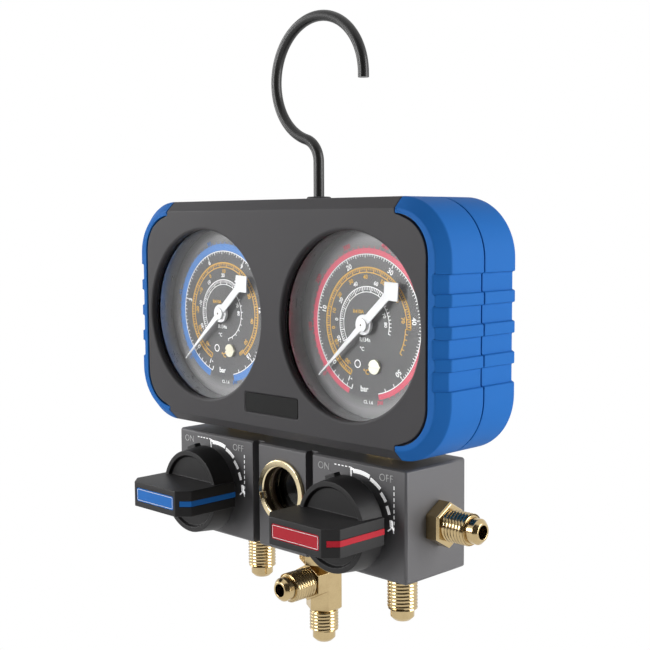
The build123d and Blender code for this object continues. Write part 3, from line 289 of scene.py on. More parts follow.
pureWhite = (1, 1, 1, 1)
ambientStrength = 0.11
world = bpy.data.worlds.new("surroundings")
bpy.context.scene.world = world
world.use_nodes = True
tree = world.node_tree
ambient = tree.nodes["Background"]
ambient.inputs["Color"].default_value = pureWhite
ambient.inputs["Strength"].default_value = ambientStrength
bright = tree.nodes.new("ShaderNodeBackground")
bright.inputs["Color"].default_value = pureWhite
skyEnd = tree.nodes["World Output"].inputs["Surface"]
whiteToEye(tree, ambient.outputs[0], bright.outputs[0], skyEnd)

# soft lamps, all turned towards the gauges
lampAim = Vector((0, 0, -0.12))
lamps = {
    "key_front": {"place": (-0.45, -0.95, 0.06), "size": (0.4, 0.4), "power": 6.4},
    "left_front": {"place": (-1.0, -0.38, 0.18), "size": (0.4, 0.7), "power": 5},
    "right_back": {"place": (0.90, 0.42, 0.05), "size": (0.5, 0.9), "power": 11.5},
    "overhead": {"place": (-0.1, 0.1, 0.9), "size": (0.8, 0.8), "power": 0.8},
}
for name, settings in lamps.items():
    lamp = bpy.data.objects.new(name, bpy.data.lights.new(name, "AREA"))
    bpy.context.collection.objects.link(lamp)
    lamp.data.shape = "RECTANGLE"
    lamp.data.size, lamp.data.size_y = settings["size"]
    lamp.data.energy = settings["power"]
    lamp.location = settings["place"]
    towards = lampAim - Vector(settings["place"])
    lamp.rotation_euler = towards.to_track_quat("-Z", "Y").to_euler()

floorLook = {"size": 6, "height": -0.36, "colour": (0.85, 0.85, 0.85, 1)}
bpy.ops.mesh.primitive_plane_add(size=floorLook["size"], location=(0, 0, floorLook["height"]))
floor = settle(justAdded("floor"))
floorPaint = bpy.data.materials.new("floor_paint")
floorPaint.use_nodes = True
tree = floorPaint.node_tree
tree.nodes.clear()
matt = tree.nodes.new("ShaderNodeBsdfDiffuse")
matt.inputs["Color"].default_value = floorLook["colour"]
glow = tree.nodes.new("ShaderNodeEmission")
glow.inputs["Color"].default_value = pureWhite
output = tree.nodes.new("ShaderNodeOutputMaterial")
whiteToEye(tree, matt.outputs[0], glow.outputs[0], output.inputs["Surface"])
floor.data.materials.append(floorPaint)
floor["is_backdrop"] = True

# a dark card behind the camera, seen only in reflections
cardLook = {
    "size": (3.2, 2.0, 1), "place": (0.62, -0.62, 0.0), "turn": (90, 0, 45),
    "colour": (0.06, 0.052, 0.04), "roughness": 0.9,
}
bpy.ops.mesh.primitive_plane_add(size=1)
card = justAdded("dark_card")
card.scale = cardLook["size"]
card.location = cardLook["place"]
card.rotation_euler = inRadians(cardLook["turn"])
settle(card)
card.data.materials.append(
    plain("card_paint", cardLook["colour"], roughness=cardLook["roughness"]))
card.visible_camera = False
card.visible_shadow = False
card.visible_diffuse = False
card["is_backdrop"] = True
print("camera and stage placed")


# ways of painting: shared patterns, each laid on by a material with its own settings
def newPattern(name, inputs):
    tree = bpy.data.node_groups.new(name, "ShaderNodeTree")
    tree.interface.new_socket(name="Vector", in_out="INPUT", socket_type="NodeSocketVector")
    for socketName, value in inputs.items():
        kind = "NodeSocketColor" if isinstance(value, tuple) else "NodeSocketFloat"
        socket = tree.interface.new_socket(name=socketName, in_out="INPUT", socket_type=kind)
        socket.default_value = value
    for socketName in ("Color", "Roughness", "Height"):
        kind = "NodeSocketColor" if socketName == "Color" else "NodeSocketFloat"
        tree.interface.new_socket(name=socketName, in_out="OUTPUT", socket_type=kind)
    given = tree.nodes.new("NodeGroupInput").outputs
    return tree, given, tree.nodes.new("NodeGroupOutput").inputs


def mathNode(tree, operation, first, second, third=None):
    node = tree.nodes.new("ShaderNodeMath")
    node.operation = operation
    for socket, value in zip(node.inputs, (first, second, third)):
        if isinstance(value, (int, float)):
            socket.default_value = value
        elif value is not None:
            tree.links.new(value, socket)
    return node.outputs[0]


def noiseNode(tree, vector, scale, detail, roughness):
    node = tree.nodes.new("ShaderNodeTexNoise")
    tree.links.new(vector, node.inputs["Vector"])
    if isinstance(scale, (int, float)):
        node.inputs["Scale"].default_value = scale
    else:
        tree.links.new(scale, node.inputs["Scale"])
    node.inputs["Detail"].default_value = detail
    node.inputs["Roughness"].default_value = roughness
    return node.outputs[0]


def mixColour(tree, factor, first, second):
    node = tree.nodes.new("ShaderNodeMix")
    node.data_type = "RGBA"
    for value, place in ((factor, 0), (first, 6), (second, 7)):
        tree.links.new(value, node.inputs[place])
    return node.outputs[2]


def stretched(tree, vector, scale):
    node = tree.nodes.new("ShaderNodeMapping")
    tree.links.new(vector, node.inputs["Vector"])
    node.inputs["Scale"].default_value = scale
    return node.outputs[0]


def ranged(tree, value, low, high, outLow, outHigh):
    node = tree.nodes.new("ShaderNodeMapRange")
    tree.links.new(value, node.inputs["Value"])
    limits = {"From Min": low, "From Max": high, "To Min": outLow, "To Max": outHigh}
    for socketName, limit in limits.items():
        node.inputs[socketName].default_value = limit
    return node.outputs[0]


# in the patterns' settings a noise is its scale, detail and roughness, and a mask is
# the values it runs from and to, and its lowest and highest result

# a moulded skin: fine grain, soft clouding, faint rubbed streaks
skin = {
    "clouds": (28.0, 4.0, 0.6), "grain": (2.0, 0.6), "streaks": (1.0, 2.0, 0.7),
    "stretch": (90.0, 90.0, 900.0), "streakMask": (0.62, 0.78, 0.0, 0.8),
    "patchMask": (0.45, 0.7, 0.0, 1.0), "cloudMask": (0.35, 0.75, 0.0, 0.45),
    "glossMask": (0.3, 0.7, -0.05, 0.05), "rubbedGloss": -0.10, "rubbedHeight": -0.4,
}
tree, given, result = newPattern("moulded_skin", {
    "Base": (0.05, 0.05, 0.05, 1), "Rubbed": (0.07, 0.07, 0.07, 1), "Rough": 0.45, "Grain": 2200.0})
clouds = noiseNode(tree, given["Vector"], *skin["clouds"])
grain = noiseNode(tree, given["Vector"], given["Grain"], *skin["grain"])
streaks = noiseNode(tree, stretched(tree, given["Vector"], skin["stretch"]), *skin["streaks"])
streakMask = ranged(tree, streaks, *skin["streakMask"])
rubbed = mathNode(tree, "MULTIPLY", streakMask, ranged(tree, clouds, *skin["patchMask"]))
both = mathNode(tree, "MAXIMUM", rubbed, ranged(tree, clouds, *skin["cloudMask"]))
tree.links.new(mixColour(tree, both, given["Base"], given["Rubbed"]), result["Color"])
sheen = mathNode(tree, "ADD", ranged(tree, clouds, *skin["glossMask"]), given["Rough"])
rough = mathNode(tree, "MULTIPLY_ADD", rubbed, skin["rubbedGloss"], sheen)
tree.links.new(rough, result["Roughness"])
height = mathNode(tree, "MULTIPLY_ADD", rubbed, skin["rubbedHeight"], grain)
tree.links.new(height, result["Height"])

# machined metal: tool rings along the local Z axis, soft tarnish, small pits
machined = {
    "rings": (1.0, 3.0, 0.6), "patches": (130.0, 5.0, 0.65), "specks": (1700.0, 2.0, 0.5),
    "stretch": (60.0, 60.0, 6500.0), "patchMask": (0.42, 0.72, 0.0, 1.0),
    "speckMask": (0.70, 0.78, 0.0, 0.35), "ringGloss": 0.10, "darkGloss": 0.22, "pits": -0.2,
}
tree, given, result = newPattern("machined_metal", {
    "Base": (0.8, 0.65, 0.35, 1), "Tarnish": (0.5, 0.36, 0.16, 1), "Rough": 0.2, "Amount": 0.35})
rings = noiseNode(tree, stretched(tree, given["Vector"], machined["stretch"]), *machined["rings"])
patches = noiseNode(tree, given["Vector"], *machined["patches"])
specks = noiseNode(tree, given["Vector"], *machined["specks"])
stain = mathNode(tree, "MULTIPLY", ranged(tree, patches, *machined["patchMask"]), given["Amount"])
dark = mathNode(tree, "MAXIMUM", stain, ranged(tree, specks, *machined["speckMask"]))
tree.links.new(mixColour(tree, dark, given["Base"], given["Tarnish"]), result["Color"])
smoother = mathNode(tree, "SUBTRACT", given["Rough"], machined["ringGloss"] / 2)
uneven = mathNode(tree, "MULTIPLY_ADD", rings, machined["ringGloss"], smoother)
rough = mathNode(tree, "MULTIPLY_ADD", dark, machined["darkGloss"], uneven)
tree.links.new(rough, result["Roughness"])
height = mathNode(tree, "MULTIPLY_ADD", specks, machined["pits"], rings)
tree.links.new(height, result["Height"])

# anodised aluminium: drawn along the local X axis, speckled by the anodising
anodised = {
    "lines": (1.0, 3.0, 0.6), "clouds": (45.0, 4.0, 0.6), "specks": (3200.0, 2.0, 0.5),
    "stretch": (35.0, 2600.0, 2600.0), "lineMask": (0.55, 0.8, 0.0, 0.6),
    "cloudMask": (0.4, 0.7, 0.2, 1.0), "cloudGloss": 0.16, "speckHeight": 0.6,
}
tree, given, result = newPattern("anodised_metal", {
    "Base": (0.15, 0.15, 0.15, 1), "Worn": (0.22, 0.22, 0.22, 1), "Rough": 0.42})
lines = noiseNode(tree, stretched(tree, given["Vector"], anodised["stretch"]), *anodised["lines"])
clouds = noiseNode(tree, given["Vector"], *anodised["clouds"])
specks = noiseNode(tree, given["Vector"], *anodised["specks"])
lineMask = ranged(tree, lines, *anodised["lineMask"])
wear = mathNode(tree, "MULTIPLY", lineMask, ranged(tree, clouds, *anodised["cloudMask"]))
tree.links.new(mixColour(tree, wear, given["Base"], given["Worn"]), result["Color"])
smoother = mathNode(tree, "SUBTRACT", given["Rough"], anodised["cloudGloss"] / 2)
rough = mathNode(tree, "MULTIPLY_ADD", clouds, anodised["cloudGloss"], smoother)
tree.links.new(rough, result["Roughness"])
height = mathNode(tree, "MULTIPLY_ADD", specks, anodised["speckHeight"], lines)
tree.links.new(height, result["Height"])


# a material that wears one of the patterns; bump is its strength and its distance in metres,
# turn is the pattern's own rotation
def patterned(
        name, pattern, bump, turn=(0, 0, 0), metallic=0.0, specular=0.5, coat=0.0, **settings):
    material = bpy.data.materials.new(name)
    material.use_nodes = True
    tree = material.node_tree
    shader = tree.nodes["Principled BSDF"]
    shader.inputs["Metallic"].default_value = metallic
    shader.inputs["Specular IOR Level"].default_value = specular
    shader.inputs["Coat Weight"].default_value = coat
    place = tree.nodes.new("ShaderNodeTexCoord")
    turner = tree.nodes.new("ShaderNodeMapping")
    turner.inputs["Rotation"].default_value = inRadians(turn)
    tree.links.new(place.outputs["Object"], turner.inputs["Vector"])
    group = tree.nodes.new("ShaderNodeGroup")
    group.node_tree = bpy.data.node_groups[pattern]
    tree.links.new(turner.outputs[0], group.inputs["Vector"])
    for key, value in settings.items():
        socket = group.inputs[key.capitalize()]
        socket.default_value = (*value, 1) if isinstance(value, tuple) else value
    tree.links.new(group.outputs["Color"], shader.inputs["Base Color"])
    tree.links.new(group.outputs["Roughness"], shader.inputs["Roughness"])
    relief = tree.nodes.new("ShaderNodeBump")
    relief.inputs["Strength"].default_value, relief.inputs["Distance"].default_value = bump
    tree.links.new(group.outputs["Height"], relief.inputs["Height"])
    tree.links.new(relief.outputs["Normal"], shader.inputs["Normal"])
    return material


# clear glass that lets light straight through to what lies behind it
def glass(name, tint, roughness, refraction):
    material = plain(name, tint, roughness)
    tree = material.node_tree
    shader = tree.nodes["Principled BSDF"]
    shader.inputs["Transmission Weight"].default_value = 1.0
    shader.inputs["IOR"].default_value = refraction
    paths = tree.nodes.new("ShaderNodeLightPath")
    through = tree.nodes.new("ShaderNodeBsdfTransparent")
    mix = tree.nodes.new("ShaderNodeMixShader")
    tree.links.new(paths.outputs["Is Shadow Ray"], mix.inputs[0])
    tree.links.new(shader.outputs[0], mix.inputs[1])
    tree.links.new(through.outputs[0], mix.inputs[2])
    tree.links.new(mix.outputs[0], tree.nodes["Material Output"].inputs["Surface"])
    return material


brassLook = {
    "metallic": 1.0, "base": (0.56, 0.43, 0.23), "tarnish": (0.27, 0.18, 0.08),
    "rough": 0.16, "amount": 0.30,
}
paint = {
    "dark_shell": patterned(
        "dark_shell_skin", "moulded_skin", bump=(0.12, 0.0002), specular=0.14,
        base=(0.054, 0.052, 0.055), rubbed=(0.066, 0.064, 0.067), rough=0.5, grain=2600.0),
    "blue_rubber": patterned(
        "blue_rubber_skin", "moulded_skin", bump=(0.10, 0.0002), specular=0.1,
        base=(0.014, 0.128, 0.43), rubbed=(0.02, 0.145, 0.47), rough=0.6, grain=2000.0),
    "black_plastic": patterned(
        "knob_skin", "moulded_skin", bump=(0.12, 0.0002), specular=0.22,
        base=(0.015, 0.0145, 0.015), rubbed=(0.028, 0.027, 0.027), rough=0.48, grain=2400.0),
    "black_wire": patterned(
        "lacquered_wire", "moulded_skin", bump=(0.10, 0.0002), specular=0.3, coat=0.15,
        base=(0.010, 0.010, 0.010), rubbed=(0.025, 0.024, 0.023), rough=0.4, grain=1500.0),
    "black_seal": patterned(
        "seal_rubber", "moulded_skin", bump=(0.2, 0.0002), specular=0.3,
        base=(0.012, 0.012, 0.012), rubbed=(0.02, 0.02, 0.02), rough=0.65, grain=1500.0),
    "white_seat": patterned(
        "seat_plastic", "moulded_skin", bump=(0.05, 0.0001),
        base=(0.82, 0.81, 0.78), rubbed=(0.74, 0.73, 0.70), rough=0.35, grain=1800.0),
    "grey_aluminium": patterned(
        "anodised_block", "anodised_metal", bump=(0.10, 0.00015), metallic=0.25, specular=0.25,
        base=(0.118, 0.116, 0.120), worn=(0.142, 0.140, 0.144), rough=0.46),
    "brass": patterned("brass_upright", "machined_metal", bump=(0.10, 0.0001), **brassLook),
    "brass_across": patterned(
        "brass_across", "machined_metal", bump=(0.10, 0.0001), turn=(0, 90, 0), **brassLook),
    "brass_forward": patterned(
        "brass_forward", "machined_metal", bump=(0.10, 0.0001), turn=(90, 0, 0), metallic=1.0,
        base=(0.80, 0.68, 0.44), tarnish=(0.40, 0.28, 0.13), rough=0.2, amount=0.25),
    "steel": patterned(
        "zinc_steel", "machined_metal", bump=(0.12, 0.0001), turn=(90, 0, 0), metallic=1.0,
        base=(0.60, 0.60, 0.61), tarnish=(0.35, 0.34, 0.33), rough=0.28, amount=0.4),
    "dial_screw": patterned(
        "zero_screw_metal", "machined_metal", bump=(0.08, 0.0001), turn=(90, 0, 0), metallic=0.6,
        base=(0.66, 0.63, 0.50), tarnish=(0.42, 0.38, 0.28), rough=0.3, amount=0.2),
    "white_pointer": plain("pointer_white", (0.60, 0.60, 0.61), roughness=0.45, specular=0.3),
    # shaded_brass is a near-black brass that paints shade into the sight ring's bore; the shafts'
    # ends wear it too
    "shaded_brass": plain("shaded_brass", (0.075, 0.052, 0.032), roughness=0.4, metallic=0.6),
    "badge_black": plain("badge_black", (0.008, 0.008, 0.008), roughness=0.5, specular=0.12),
    "low_blue": plain("badge_blue", (0.01, 0.14, 0.48), roughness=0.55, specular=0.2),
    "high_red": plain("badge_red", (0.42, 0.012, 0.025), roughness=0.55, specular=0.2),
    "clear_glass": glass("window_glass", (0.97, 0.98, 0.98), roughness=0.02, refraction=1.3),
}

# the dial's face: a darker middle and a paler margin; a stop is a share of the reach and a grey
dialFace = {
    "roughness": 0.42, "specular": 0.3, "reach": 32.0, "greenShare": 0.98,
    "stops": ((0.0, 0.070), (0.60, 0.072), (0.79, 0.08), (0.86, 0.15), (0.93, 0.22), (1.0, 0.18)),
}


def dialMaterial(side):
    middleGrey = (dialFace["stops"][0][1],) * 3
    material = plain(
        "dial_face_" + side, middleGrey, dialFace["roughness"], specular=dialFace["specular"])
    tree = material.node_tree
    shader = tree.nodes["Principled BSDF"]
    place = tree.nodes.new("ShaderNodeTexCoord")
    centre = tree.nodes.new("ShaderNodeMapping")
    centre.inputs["Location"].default_value = (-gaugeX[side], 0, -gaugeZ)
    centre.inputs["Scale"].default_value = (1, 0, 1)
    tree.links.new(place.outputs["Object"], centre.inputs["Vector"])
    length = tree.nodes.new("ShaderNodeVectorMath")
    length.operation = "LENGTH"
    tree.links.new(centre.outputs[0], length.inputs[0])
    ramp = tree.nodes.new("ShaderNodeValToRGB")
    while len(ramp.color_ramp.elements) < len(dialFace["stops"]):
        ramp.color_ramp.elements.new(0.5)
    for element, (position, value) in zip(ramp.color_ramp.elements, dialFace["stops"]):
        element.position = position
        element.color = (value, value * dialFace["greenShare"], value, 1)
    fromMiddle = ranged(tree, length.outputs["Value"], 0.0, dialFace["reach"] * mm, 0.0, 1.0)
    tree.links.new(fromMiddle, ramp.inputs["Fac"])
    tree.links.new(ramp.outputs["Color"], shader.inputs["Base Color"])
    return material


# CAD nodes that wear another material than the one of their slot
nodePaint = {
    "vacuum_port": "brass_across", "sight_glass_ring": "brass_forward",
    "low_gland_nut": "brass_forward", "high_gland_nut": "brass_forward",
    "low_pinion": "brass_forward", "high_pinion": "brass_forward",
    "low_sector": "brass_forward", "high_sector": "brass_forward",
}
for side in sides:
    paint["dial_face_" + side] = dialMaterial(side)
    nodePaint[side + "_dial"] = "dial_face_" + side
for name, node in nodes.items():
    node.material_slots[0].material = paint[nodePaint.get(name, slotOf[name])]
print("materials made")


def dress(piece, materialName):
    piece.data.materials.clear()
    piece.data.materials.append(paint[materialName])


# a closer-worked copy that stands for a CAD node
def standIn(nodeName, piece):
    dress(piece, nodePaint.get(nodeName, slotOf[nodeName]))
    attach(piece, bodyOf[nodeName])
    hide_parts(nodeName)


# mouldings and metal parts with broken edges; their faces are parted at the middle of the
# gauges, badge, screws, ribs and ports, so that no face runs round an opening
parting = {
    "badgeDrop": 31.0, "screwX": 67.0, "screwRise": 30.8, "bumperX": 66.0, "bumperRise": 29.0,
    "sightRise": 3.8, "teeY": 1.5, "sidePortY": 3.8,
}
badgeZ = gaugeZ - parting["badgeDrop"] * mm
screwX = parting["screwX"] * mm
screwZ = [gaugeZ + rise * parting["screwRise"] * mm for rise in (1, -1)]
sightZ = valveZ + parting["sightRise"] * mm
gaugePartings = [("x", gaugeX["low"]), ("x", 0.0), ("x", gaugeX["high"])]
frontPartings = gaugePartings + [("z", gaugeZ), ("z", badgeZ)]
rearPartings = gaugePartings + [
    ("z", gaugeZ), ("x", -screwX), ("x", screwX), ("z", screwZ[0]), ("z", screwZ[1])]
bumperPartings = [("z", gaugeZ + rise * parting["bumperRise"] * mm) for rise in (1, 0, -1)]
leftPartings = bumperPartings + [("x", -parting["bumperX"] * mm)]
rightPartings = bumperPartings + [("x", parting["bumperX"] * mm)]
blockPartings = gaugePartings + [
    ("z", valveZ), ("z", sightZ), ("y", parting["teeY"] * mm), ("y", parting["sidePortY"] * mm)]
softened = {
    "front_cover": {"width": 0.45, "limit": 40, "partings": frontPartings},
    "rear_cover": {"width": 0.45, "limit": 40, "partings": rearPartings},
    "front_bumper_left": {"width": 0.45, "limit": 25, "partings": leftPartings},
    "front_bumper_right": {"width": 0.45, "limit": 25, "partings": rightPartings},
    "rear_bumper_left": {"width": 0.45, "limit": 25, "partings": leftPartings},
    "rear_bumper_right": {"width": 0.45, "limit": 25, "partings": rightPartings},
    "low_knob": {"width": 0.3, "limit": 30},
    "high_knob": {"width": 0.3, "limit": 30},
    "manifold_block": {"width": 0.2, "limit": 40, "partings": blockPartings},
    "low_bezel": {"width": 0.15, "limit": 40},
    "high_bezel": {"width": 0.15, "limit": 40},
    "low_pointer": {"width": 0.06, "limit": 40},
    "high_pointer": {"width": 0.06, "limit": 40},
    "hook_bush": {"width": 0.2, "limit": 40},
}
softenedSmooth = 30  # edges that turn by less are shaded smooth
near = 0.05 * mm  # how close a point lies to the wall that it belongs to

# the gap round the panel: the wall's corner arcs, and the depth of the step behind it
panel = {"gap": 0.7, "arcX": 59.7, "arcZ": 23.9, "arc": 14.0, "stepY": -23.6, "ease": 15}


# the panel's wall stands a little back from the rubber lip, by less where the arcs begin
def panelGap(piece):
    gap, arc = panel["gap"] * mm, panel["arc"] * mm
    for vertex in piece.data.vertices:
        across = abs(vertex.co.x) - panel["arcX"] * mm
        up = abs(vertex.co.z - gaugeZ) - panel["arcZ"] * mm
        if vertex.co.y > panel["stepY"] * mm or across < 0:
            continue
        if up <= 0 and abs(across - arc) < near:
            vertex.co.x -= math.copysign(gap, vertex.co.x)
        elif up > 0 and abs(math.hypot(across, up) - arc) < near:
            eased = min(1.0, math.atan2(across, up) / math.radians(panel["ease"]))
            share = eased * gap / arc
            vertex.co.x -= math.copysign(across * share, vertex.co.x)
            vertex.co.z -= math.copysign(up * share, vertex.co.z - gaugeZ)


# the two halves of a moulding stop just short of their seam
seam = {"short": 0.2, "y": coverBox[1].y / mm}


def seamGap(piece):
    back = seam["short"] * (1 if piece.name.startswith("rear") else -1)
    for vertex in piece.data.vertices:
        if abs(vertex.co.y - seam["y"] * mm) < near:
            vertex.co.y += back * mm


# the block's two face grooves made deep enough to stay dark
grooves = {"middle": 14.4, "half": 1.85, "floor": 1.0, "deeper": 2.2}


def deeperGrooves(piece):
    floorY = blockFront + grooves["floor"] * mm
    for vertex in piece.data.vertices:
        across = abs(abs(vertex.co.x) - grooves["middle"] * mm)
        if across < grooves["half"] * mm and abs(vertex.co.y - floorY) < near:
            vertex.co.y += grooves["deeper"] * mm


for nodeName, settings in softened.items():
    piece = fromNode(nodeName, nodeName + "_soft", settings.get("partings", ()))
    if nodeName == "front_cover":
        panelGap(piece)
    if nodeName == "manifold_block":
        deeperGrooves(piece)
    if "bumper" in nodeName:
        seamGap(piece)
    softenEdges(piece, settings["width"], settings["limit"])
    smoothByAngle(piece, softenedSmooth)
    standIn(nodeName, piece)

# the shaft's end, held in the middle of each pointer's hub: place along it, radius
shaftEnd = {
    "cup": {"profile": ((-0.1, 1.25), (0.05, 1.25), (0.12, 1.1)), "steps": 32, "paint": "steel"},
    "shaft": {"profile": ((0.1, 0.4), (0.22, 0.34)), "steps": 24, "paint": "shaded_brass"},
}
for side in sides:
    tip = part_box(side + "_pointer")[0].y
    parts = []
    for name, settings in shaftEnd.items():
        part = turned(name, settings["profile"], settings["steps"])
        part.data.materials.append(paint[settings["paint"]])
        parts.append(part)
    end = joined(side + "_shaft_end", parts)
    layAlong(end, (gaugeX[side], tip, gaugeZ), (0, -1, 0))
    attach(smoothByAngle(end), side + "_pointer")
print("softened copies made")

# a 7/16-20 thread; the crest's start and end are shares of the pitch, the band is where the
# smooth cylinder's radius lies, and the cylinder is drawn in a little further than the root
thread = {
    "pitch": 1.27, "root": 4.97, "major": 5.55, "crest": (0.42, 0.58), "steps": 64,
    "band": (5.2, 5.9), "further": 0.03, "nose": 4.4, "soften": 0.15, "limit": 25, "smooth": 32,
}


# the thread's ridge about Z, cut off flat at both ends
def threadRidge(name, length):
    pitch, root, major = thread["pitch"], thread["root"], thread["major"]
    bpy.ops.mesh.primitive_circle_add(vertices=4, radius=mm)
    profile = justAdded(name)
    editWhole(profile)
    selectWhere(profile, "EDGE", lambda edge: set(edge.vertices) == {0, 3})
    bpy.ops.mesh.delete(type="EDGE")
    bpy.ops.mesh.select_mode(type="VERT")
    bpy.ops.object.mode_set(mode="OBJECT")
    crestStart, crestEnd = thread["crest"]
    shape = ((root, 0), (major, crestStart), (major, crestEnd), (root, 1))
    for vertex, (radius, share) in zip(profile.data.vertices, shape):
        vertex.co = (radius * mm, 0, (share - 1) * pitch * mm)
    screw = profile.modifiers.new("screw", "SCREW")
    screw.axis = "Z"
    screw.screw_offset = pitch * mm
    screw.iterations = math.ceil(length / pitch) + 2
    screw.steps = screw.render_steps = thread["steps"]
    applyAll(profile)
    editWhole(profile)
    bpy.ops.mesh.remove_doubles(threshold=merging["thread"] * mm)
    for place, direction in ((0, -1), (length * mm, 1)):
        slicedAt((0, 0, place), (0, 0, direction), clear_outer=True)
    closeOutwards()
    return profile


# a smooth cylinder drawn in to the thread's root between two places along it
def drawnIn(piece, start, along, length):
    def onBand(face):
        offset = face.center - start
        fromAxis = (offset - along * offset.dot(along)).length
        inner, outer = thread["band"]
        return 0 < offset.dot(along) < length * mm and inner * mm < fromAxis < outer * mm

    editWhole(piece)
    for place in (start, start + along * length * mm):
        slicedAt(place, along)
    selectWhere(piece, "FACE", onBand)
    bpy.ops.mesh.extrude_region_move()
    share = (thread["root"] - thread["further"]) / thread["major"]
    bpy.ops.transform.resize(
        value=[1.0 if abs(reach) > 0.5 else share for reach in along], center_override=start)
    bpy.ops.mesh.select_mode(type="VERT")
    bpy.ops.object.mode_set(mode="OBJECT")


# the hose mount and thread length of every flare end
flareEnds = {
    "low_side_port": (("low_side_hose", 12.5),),
    "high_side_port": (("high_side_hose", 12.5),),
    "vacuum_port": (("vacuum_hose", 9.1),),
    "charging_tee": (("charging_hose_down", 8.2), ("charging_hose_front", 9.8)),
}
for nodeName, ends in flareEnds.items():
    low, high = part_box(nodeName)
    piece = fromNode(nodeName, nodeName + "_body")
    softenEdges(piece, thread["soften"], thread["limit"])
    parts = [piece]
    for mountName, length in ends:
        along = Vector(mounts[mountName]["axis"])
        place = Vector(mounts[mountName]["pos_m"])
        tip = max(corner.dot(along) for corner in (low, high))
        start = place - along * (place.dot(along) - tip + (length + thread["nose"]) * mm)
        drawnIn(piece, start, along, length)
        parts.append(layAlong(threadRidge("ridge", length), start, along))
    piece = joined(nodeName + "_threaded", parts)
    smoothByAngle(piece, thread["smooth"])
    standIn(nodeName, piece)
print("threads made")


# printed marks: flat shapes in the XZ plane, given a little thickness when they are joined;
# they lie a lift in front of their face, and the dials' are set out larger and drawn in
printing = {
    "thickness": 0.03, "lift": 0.01, "dialShare": 0.965, "arcStep": 3, "hairline": 0.01,
    "curveSteps": 3, "weight": 0.025, "markPaintedGlow": 0.3,
}


def quad(name, x0, x1, z0, z1, depth):
    bpy.ops.mesh.primitive_plane_add(size=1)
    piece = justAdded(name)
    piece.scale = ((x1 - x0) * mm, (z1 - z0) * mm, 1)
    piece.rotation_euler = (math.radians(90), 0, 0)
    piece.location = ((x0 + x1) / 2 * mm, depth, (z0 + z1) / 2 * mm)
    return settle(piece)


# angles are counted from the right, counter-clockwise as seen from the front
def turnAbout(piece, centre, angle):
    there = Matrix.Translation(centre)
    turn = Matrix.Rotation(-math.radians(angle), 4, "Y")
    piece.data.transform(there @ turn @ there.inverted())
    return piece


def spun(piece, centre, sweep, steps, copies):
    editWhole(piece)
    bpy.ops.mesh.spin(
        steps=steps, dupli=copies, angle=math.radians(sweep), center=centre, axis=(0, 1, 0))
    bpy.ops.object.mode_set(mode="OBJECT")
    return piece


# a band between two radii, running clockwise from one angle to another
def band(centre, inner, outer, start, end):
    x, z = centre[0] / mm, centre[2] / mm
    hair = printing["hairline"]
    piece = quad("band", x + inner, x + outer, z - hair, z + hair, centre[1])
    editWhole(piece)
    slicedAt(centre, (0, 0, 1), clear_outer=True)
    selectWhere(piece, "VERT", lambda vertex: vertex.co.z < centre[2] - hair * mm / 2)
    bpy.ops.mesh.delete(type="VERT")
    bpy.ops.object.mode_set(mode="OBJECT")
    turnAbout(piece, centre, start)
    sweep = end - start
    return spun(piece, centre, sweep, max(3, round(abs(sweep) / printing["arcStep"])), False)


# a fan of short lines across a scale
def ticks(centre, inner, outer, width, start, end, count):
    x, z = centre[0] / mm, centre[2] / mm
    piece = quad("ticks", x + inner, x + outer, z - width / 2, z + width / 2, centre[1])
    turnAbout(piece, centre, start)
    return spun(piece, centre, end - start, count, True)


# weight thickens the letters by a share of their size
def words(centre, text, size, x, z, angle=0.0, weight=printing["weight"]):
    letGo()
    bpy.ops.object.text_add()
    piece = bpy.context.object
    piece.data.body = text
    piece.data.size = size * mm
    piece.data.align_x = "CENTER"
    piece.data.align_y = "CENTER"
    piece.data.resolution_u = printing["curveSteps"]
    piece.data.offset = weight * size * mm
    bpy.ops.object.convert(target="MESH")
    piece = justAdded("words")
    turn = Matrix.Rotation(-math.radians(angle), 4, "Y") @ Matrix.Rotation(math.radians(90), 4, "X")
    place = Matrix.Translation((centre[0] + x * mm, centre[1], centre[2] + z * mm))
    piece.data.transform(place @ turn)
    return piece


# numbers round a scale, their tops outward
def numbers(centre, radius, size, values):
    pieces = []
    for value, angle in values:
        x, z = (radius * turn(math.radians(angle)) for turn in (math.cos, math.sin))
        pieces.append(words(centre, value, size, x, z, angle - 90))
    return pieces


# a scale's marks from its rows, where a name stands for the scale's own setting
def marked(rows, centre, scale):
    return [make(centre, *(scale[value] if value in scale else value for value in row))
            for make, *row in rows]


def ink(name, pieces, material, about=None):
    piece = joined(name, pieces)
    if about:
        middle = Matrix.Translation(about)
        piece.data.transform(middle @ Matrix.Scale(printing["dialShare"], 4) @ middle.inverted())
    solid = piece.modifiers.new("ink", "SOLIDIFY")
    solid.thickness = printing["thickness"] * mm
    solid.offset = 1
    applyAll(piece)
    piece.data.materials.clear()
    piece.data.materials.append(material)
    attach(piece, "housing")


inks = {
    "white": plain("ink_white", (0.80, 0.80, 0.80), 0.5),
    "red": plain("ink_red", (0.50, 0.038, 0.08), 0.5),
    "blue": plain("ink_blue", (0.03, 0.15, 0.43), 0.5),
    "gold": plain("ink_gold", (0.60, 0.33, 0.03), 0.5),
    "label": plain("ink_label", (0.50, 0.50, 0.50), 0.5),
    "mark": plain("ink_mark_painted_glow", (0.95, 0.95, 0.95), 0.5),
}
# the block's marks glow faintly: painted light that keeps them white inside the knobs' shadow
markShader = inks["mark"].node_tree.nodes["Principled BSDF"]
markShader.inputs["Emission Color"].default_value = pureWhite
markShader.inputs["Emission Strength"].default_value = printing["markPaintedGlow"]

